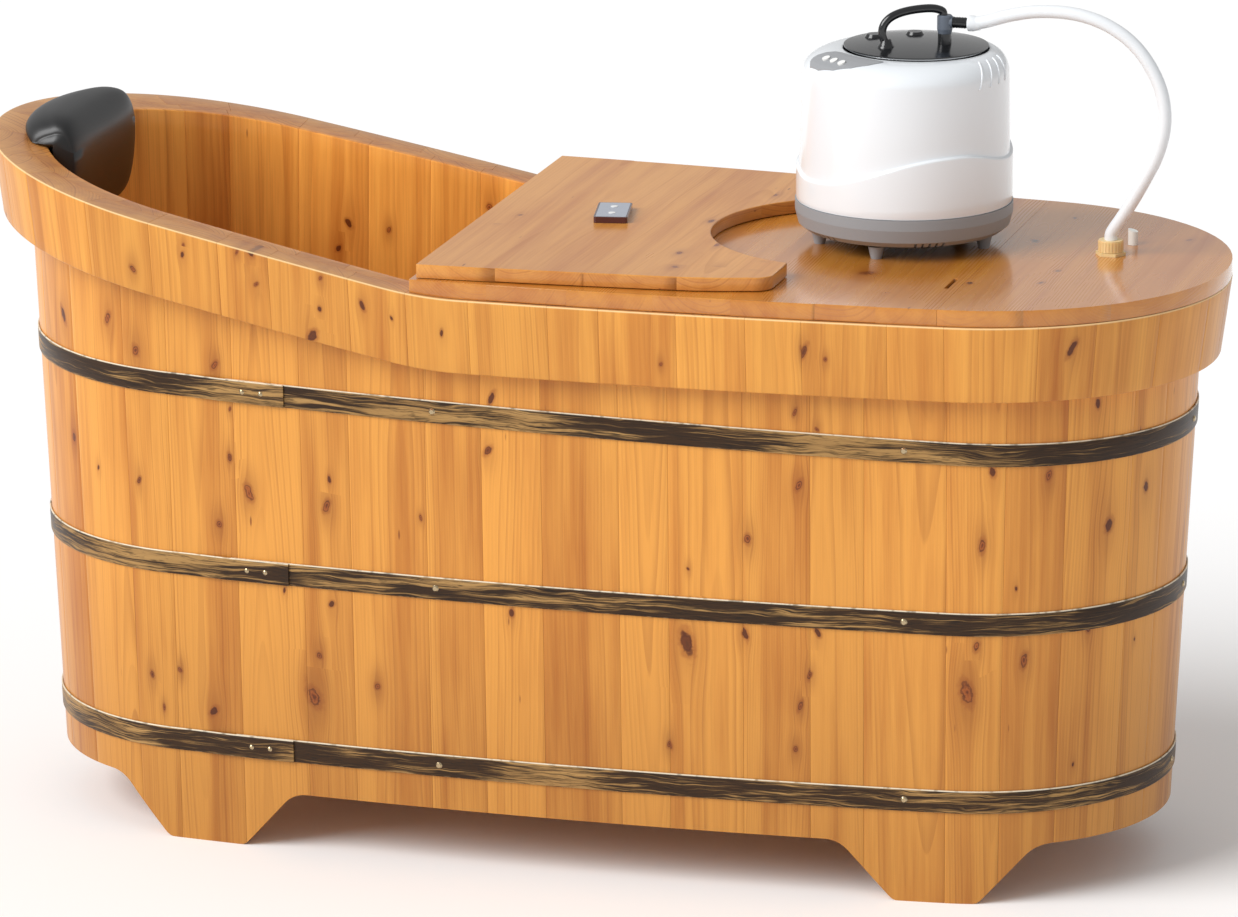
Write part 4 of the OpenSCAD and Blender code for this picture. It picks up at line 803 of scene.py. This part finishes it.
def pillow():
    """A moulded pad: its section, drawn from the rim's inner edge, runs across the head end. Its depth
    follows the wall, since its front is straight; it shrinks a little towards both ends, which are domed."""
    outline = flowing(np.vstack([PAD[-1:], PAD, PAD[:2]]), 6)[6:-7]
    part = np.linspace(-1, 1, 73)
    s = np.sin(part * pi / 2)
    dome = np.array([0.94, 0.86, 0.74, 0.58, 0.38, 0.16, 0.0])
    s = np.concatenate([-np.ones(len(dome)), s, np.ones(len(dome))])
    draw = np.concatenate([dome[::-1], np.ones(len(part)), dome])[:, None]
    y = PAD_W / 2 * s[:, None] * (1 + 0.05 * (1 - draw**2))
    bow = END_R - wall_in(RIM_Z + 60)
    x0 = -END_X - np.sqrt(bow**2 - (PAD_W / 2 * s[:, None]) ** 2)
    z0 = rim_line(x0)
    share = PAD_END + (1 - PAD_END) * np.sqrt(np.clip(1 - np.abs(s[:, None]) ** 7, 0, None))
    deep = (PAD_FRONT - x0) / (PAD_FRONT + END_X + bow)
    across, up = outline[:, 0], outline[:, 1]
    u = PAD_MID[0] + (across * np.where(across > 0, deep, 1) - PAD_MID[0]) * share
    v = PAD_MID[1] + (up - PAD_MID[1]) * share
    lies, hangs = rim_line(x0 + u) - z0 + PAD_PLAY, PAD_PLAY - LEAN * v
    low = v < lies
    v = np.where(low & (up > -10), lies, v)
    u = np.where(low & (up <= -10), np.maximum(u, hangs), u)
    u = PAD_HEART[0] + (u - PAD_HEART[0]) * draw
    v = PAD_HEART[1] + (v - PAD_HEART[1]) * draw
    spot = np.stack([x0 + u, y + 0 * u, z0 + v], -1)
    thing = closed("head_pad", spot, "head_pillow", "pillow_cover", ("pillow",), 80)


# ---- cover and neck board

# The finger slot beside the seam: its middle along and across the tub, its width and length, and the band
# round it that gets a painted highlight
SLOT, SLOT_HIGHLIGHT_BAND = np.array([425.0, -152.5, 5.0, 49.0]), 1.6
# Joints between the boards, the easing of their edges, and the spacing of the cuts across the grain
SEAM, EASE, SLICES = 0.00002, 0.0012, np.arange(-0.28, 0.29, 0.035)

# Knots seen in the photograph, as (along the tub, across it, radius) on the upper face
FLAT_KNOTS = {
    "cover": [(325, -129, 9), (371, -203, 4), (444, -144, 4), (468, 72, 5), (523, -63, 3), (518, -123, 3),
              (528, -212, 3), (632, 123, 3), (639, 202, 3), (486, 196, 3)],
    "neck": [(-99, -24, 3), (-112, -64, 3), (121, -156, 4), (134, -222, 4), (179, -214, 4), (150, -108, 4),
             (149, 151, 4), (221, -193, 4), (114, 4, 4)]}


def read(items, key):
    """A vector of each point or face of a mesh."""
    values = np.empty(len(items) * 3, np.float32)
    items.foreach_get(key, values)
    return values.reshape(-1, 3)


def cut(work, x, y, normal, **settings):
    """Cuts a mesh by an upright plane."""
    return bmesh.ops.bisect_plane(work, geom=work.verts[:] + work.edges[:] + work.faces[:], dist=1e-7,
                                  plane_co=(x, y, 0), plane_no=normal, **settings)["geom_cut"]


def sawn(node, joints, top, body, slot, knots, seed):
    """A panel edge-glued from boards that run across the tub, made from a welded copy of its solid: each
    board is cut out between its joints, its edges are eased, and it is sliced so that each face can name
    the knot nearest to it. Across is measured along the tub from the board's middle."""
    whole = bmesh.new()
    whole.from_mesh(frame["nodes"][node].data)
    bmesh.ops.remove_doubles(whole, verts=whole.verts, dist=1e-5)
    bmesh.ops.dissolve_limit(whole, angle_limit=radians(0.5), verts=whole.verts, edges=whole.edges)
    mesh = bpy.data.meshes.new(node)
    whole.to_mesh(mesh)
    whole.free()
    rng = np.random.default_rng(seed)
    cuts = (np.array(joints, float) + SHIFT) / 1000
    target, counts, faces = bmesh.new(), [], []
    for low, high in zip(cuts[:-1], cuts[1:]):
        work = bmesh.new()
        work.from_mesh(mesh)
        for x, sign in ((low + SEAM, -1), (high - SEAM, 1)):
            rim = [e for e in cut(work, x, 0, (sign, 0, 0), clear_outer=True)
                   if isinstance(e, bmesh.types.BMEdge)]
            if rim:
                bmesh.ops.edgenet_fill(work, edges=rim)
        bmesh.ops.recalc_face_normals(work, faces=work.faces)
        edges = [e for e in work.edges if len(e.link_faces) == 2 and e.calc_face_angle(0) > radians(60)
                 and not any(max(abs(v.co.x - x) for v in e.verts) < 0.0003 for x in cuts[1:-1])]
        bmesh.ops.bevel(work, geom=edges, offset=EASE, segments=2, profile=0.6, affect="EDGES",
                        clamp_overlap=True)
        for y in SLICES:
            cut(work, 0, y, (0, 1, 0))
        some = bpy.data.meshes.new("board")
        work.to_mesh(some)
        counts.append(len(some.vertices))
        faces.append(len(some.polygons))
        target.from_mesh(some)
        work.free()
        bpy.data.meshes.remove(some)
    bpy.data.meshes.remove(mesh)
    mesh = bpy.data.meshes.new(node + "_boards")
    target.to_mesh(mesh)
    target.free()
    settle(node + "_boards", mesh, body, slot, (node,), 40)
    mesh.polygons.foreach_set("use_smooth", np.abs(read(mesh.polygons, "normal")[:, 2]) < 0.999)
    spots, centres = read(mesh.vertices, "co"), read(mesh.polygons, "center")
    middles = (cuts[:-1] + cuts[1:]) / 2
    which = np.repeat(np.arange(len(middles)), counts)
    under = top / 1000 - spots[:, 2]
    attach(mesh, "grain", np.stack([spots[:, 0] - middles[which], under, spots[:, 1]], -1))
    attach(mesh, "board", (rng.random((len(middles), 3)) * [0.4, 1, 0.5] + [0.3, 0, 0.2])[which])
    # the finger slot gets painted shade inside and a painted highlight round its rim; the panel's edges are
    # half end grain
    off = np.abs((spots[:, :2] * 1000 - [SHIFT, 0] - SLOT[:2]) / (SLOT[2:] / 2 + SLOT_HIGHLIGHT_BAND))
    down = under * (np.max(off, axis=1) < 1) * (top == COVER_TOP)
    low = (under > 0.0009) * 0.5 * (down == 0)
    rim, slot_shade_mask = (down > 0.0001) & (down < 0.0015), (down > 0.0015) & (down < 0.009)
    attach(mesh, "edge", np.stack([rim, low, slot_shade_mask], -1))
    owner = np.repeat(np.arange(len(middles)), faces)
    flat = np.array(knots, float) / 1000 + [SHIFT / 1000, 0, 0]
    told = np.empty((len(owner), 3))
    for k, middle in enumerate(middles):
        mine = flat[(flat[:, 0] > cuts[k]) & (flat[:, 0] < cuts[k + 1])] - [middle, 0, 0]
        told[owner == k] = nearest(centres[owner == k][:, :2] - [middle, 0], mine)
    attach(mesh, "knot", told, "FACE")


def cover():
    """Both panels of the cover, and the neck board folded on them."""
    sawn("cover_main_panel", [-160, -58, 32, 128, 214, 306, 372, 439], COVER_TOP, "cover", "cover_wood",
         FLAT_KNOTS["cover"], 5)
    sawn("cover_foot_panel", [437, 528, 612, 700], COVER_TOP, "cover", "cover_wood", FLAT_KNOTS["cover"], 6)
    sawn("neck_board", [-150, -52, 46, 148, 250], BOARD_TOP, "neck", "board_wood", FLAT_KNOTS["neck"], 7)


# ---- steam maker

BODY_R, SKIRT_R, BASE_H, SHOULDER_Z, LID_Z, RING_R, FLARE = 115.0, 120.0, 49.0, 192.0, 217.0, 83.0, 2.4
INSIDE_R = 113.6
# The skirt's bead, as (inset, rise) from its upper edge
BEAD = ((0.02, -1.7), (0.2, -0.9), (0.6, -0.25), (1.2, 0.2), (1.9, 0.5))


def wave_z(x):
    """Height of the skirt's upper edge: a wave, high on the right, that eases back at both sides."""
    return (98 + 18.5 * np.sin(np.radians(1.04 * (x + 5.5))) - 9 * (np.maximum(0, x - 85) / 35) ** 2
            + 10 * (np.maximum(0, -92 - x) / 28) ** 2)


def shoulder(t):
    """Radius, height and drift to the lid's middle at t degrees up the shoulder's quarter turn."""
    c, s = np.cos(np.radians(t)), np.sin(np.radians(t))
    return RING_R + (BODY_R - RING_R) * c, SHOULDER_Z + (LID_Z - SHOULDER_Z) * s, 1 - c


def on_top(r, a, z, drift):
    """Places round the steam maker's axis, which drift towards the lid's middle."""
    return STEAM + np.stack([LID_OFF[0] * drift + r * np.cos(a), LID_OFF[1] * drift + r * np.sin(a), z], -1)


def shell():
    """The housing: rings round its axis, from the skirt with its waved bead, up the slightly conical body,
    over the shoulder, whose rings drift towards the lid's middle, and down inside."""
    a = around(180)
    wave = wave_z(SKIRT_R * np.cos(a))
    one = np.ones_like(a)

    # the body's radius, which grows evenly downwards
    def cone(z):
        return BODY_R + FLARE * (SHOULDER_Z - z) / (SHOULDER_Z - BASE_H)

    rows = [(INSIDE_R, BASE_H, 0), (118.9, BASE_H, 0), (119.7, BASE_H + 0.3, 0), (SKIRT_R, BASE_H + 1.2, 0)]
    rows += [(SKIRT_R, BASE_H + 1.2 + (wave - 2.4 - BASE_H - 1.2) * k / 6, 0) for k in range(1, 7)]
    rows += [(SKIRT_R - inset, wave + rise, 0) for inset, rise in BEAD]
    rows += [(cone(wave) + 0.5, wave + 0.9, 0), (cone(wave + 1.6) + 0.12, wave + 1.6, 0)]
    rows += [(cone(z), z, 0) for z in (wave + 3 + (SHOULDER_Z - wave - 3) * k / 8 for k in range(8))]
    rows += [shoulder(t) for t in np.linspace(0, 90, 19)]
    rows += [(82.2, 217, 1), (81.3, 216.7, 1), (80.8, 216, 1), (80.7, 213, 1), (84, 208, 0.9),
             (108, 190, 0.1), (112.4, 170, 0), (INSIDE_R, BASE_H + 3, 0), (INSIDE_R, BASE_H, 0)]
    r, z, drift = (np.stack([row[k] * one for row in rows]) for k in range(3))
    spot = on_top(r, a, z, drift)
    closed("steamer_shell", spot, "steamer", "white_housing", ("steamer_housing",))


RIB_R, RIB_ANGLES = 1.15, (-27.5, -19, -10.5, -2)


def ribs():
    """Four raised ribs over the right-hand shoulder, each a thin rod that follows the shoulder down."""
    t = np.linspace(62, 3, 20)
    r, z, drift = shoulder(t)
    fall = np.linspace(0, 1, 8)[1:]
    r = np.concatenate([r, BODY_R + 0.3 * fall]) + 0.1
    z = np.concatenate([z, SHOULDER_Z - 1 - 3 * fall])
    drift = np.concatenate([drift, 0 * fall])
    spots, faces, start = [], [], 0
    for k, angle in enumerate(RIB_ANGLES):
        a = np.radians(angle - 4.5 * np.linspace(0, 1, len(r)) ** 1.5)
        keep = slice(0, len(r) - 2 * k)
        rings = rod(on_top(r, a, z, drift)[keep], RIB_R, (-sin(a[0]), cos(a[0]), 0), 12)
        faces.append(skin(rings) + start)
        spots.append(rings.reshape(-1, 3))
        start += len(spots[-1])
    thing = piece("shoulder_ribs", np.vstack(spots), np.vstack(faces), "steamer", "white_housing", sharp=60)
    merged(thing.data)


# The lid's dome, and where on it the handle's foot and the outlet block stand
DOME_H, LID_SEAT, LID_R, HANDLE_R = 6.0, 220.4, 80.0, 4.6
DOME_R = (LID_R**2 + DOME_H**2) / (2 * DOME_H)
FOOT_AT, OUT_AT = np.array([-24.0, -42.0]), np.array([35.0, -12.0])


def handle():
    """The lid's arched handle: a rod along a smooth arch from its foot to the outlet block, with a collar
    turned about its foot."""
    arch = OUT_AT - FOOT_AT
    length, turn = float(np.hypot(*arch)), atan2(arch[1], arch[0])
    base = LID_SEAT + DOME_H - DOME_R + float(np.sqrt(DOME_R**2 - FOOT_AT @ FOOT_AT))
    line = flowing(np.array([[0, 2], [-3.5, 11], [-4.5, 18], [-2, 25.5], [4, 31.8], [13, 36.3], [25, 39.3],
                             [38, 40.8], [49, 41.1], [57, 40], [length - 3, 37.3], [length - 1.5, 33.4]]), 6)
    place = STEAM + [*(LID_OFF + FOOT_AT), base]
    path = place + np.stack([line[:, 0] * cos(turn), line[:, 0] * sin(turn), line[:, 1]], -1)
    rings = rod(path, HANDLE_R, (-sin(turn), cos(turn), 0), 24)
    closed("lid_handle_arch", rings, "lid", "black_plastic", ("lid_handle",), 60)
    turned("lid_handle_foot", [(-1.5, 9.6), (0.6, 9.3), (1.6, 8.2), (4, 6.9), (7, 5.8), (9, 4.9)], place,
           (0, 0, 1), "lid", "black_plastic")


# ---- stage and light

FLOOR_HALF, SURROUND = 60.0, 0.53
LAMP, LAMP_WIDTH, LAMP_FROM = 2.9, 42, (-0.72, -0.66, 0.7)


def studio():
    """A wide pale floor, an even white surround and one very soft lamp from the front left."""
    mesh = bpy.data.meshes.new("floor")
    corners = ((-1, -1), (1, -1), (1, 1), (-1, 1))
    mesh.from_pydata([(FLOOR_HALF * x, FLOOR_HALF * y, 0) for x, y in corners], [], [(0, 1, 2, 3)])
    made = material("floor", roughness=0.9, base_color=rgb(252, 252, 252))[0]
    mesh.materials.append(made)
    ground = placed("floor", mesh)
    world = bpy.context.scene.world = bpy.data.worlds.new("surround")
    world.use_nodes = True
    sky = world.node_tree.nodes["Background"].inputs
    sky["Color"].default_value, sky["Strength"].default_value = (1, 1, 1, 1), SURROUND
    lamp = bpy.data.lights.new("key", "SUN")
    lamp.energy, lamp.angle = LAMP, radians(LAMP_WIDTH)
    placed("key", lamp).rotation_euler = Vector(LAMP_FROM).to_track_quat("Z", "Y").to_euler()
    bpy.context.scene.view_settings.view_transform = "Standard"


look()
hose()
for part in frame["record"]["subparts"]:
    for holder in frame["nodes"][part["node"]].material_slots:
        holder.material = FINISH[part["material_slot"]]
tub()
for number, title in enumerate(("hoop_bottom", "hoop_middle", "hoop_top")):
    hoop(title, number)
pillow()
cover()
shell()
ribs()
handle()
studio()
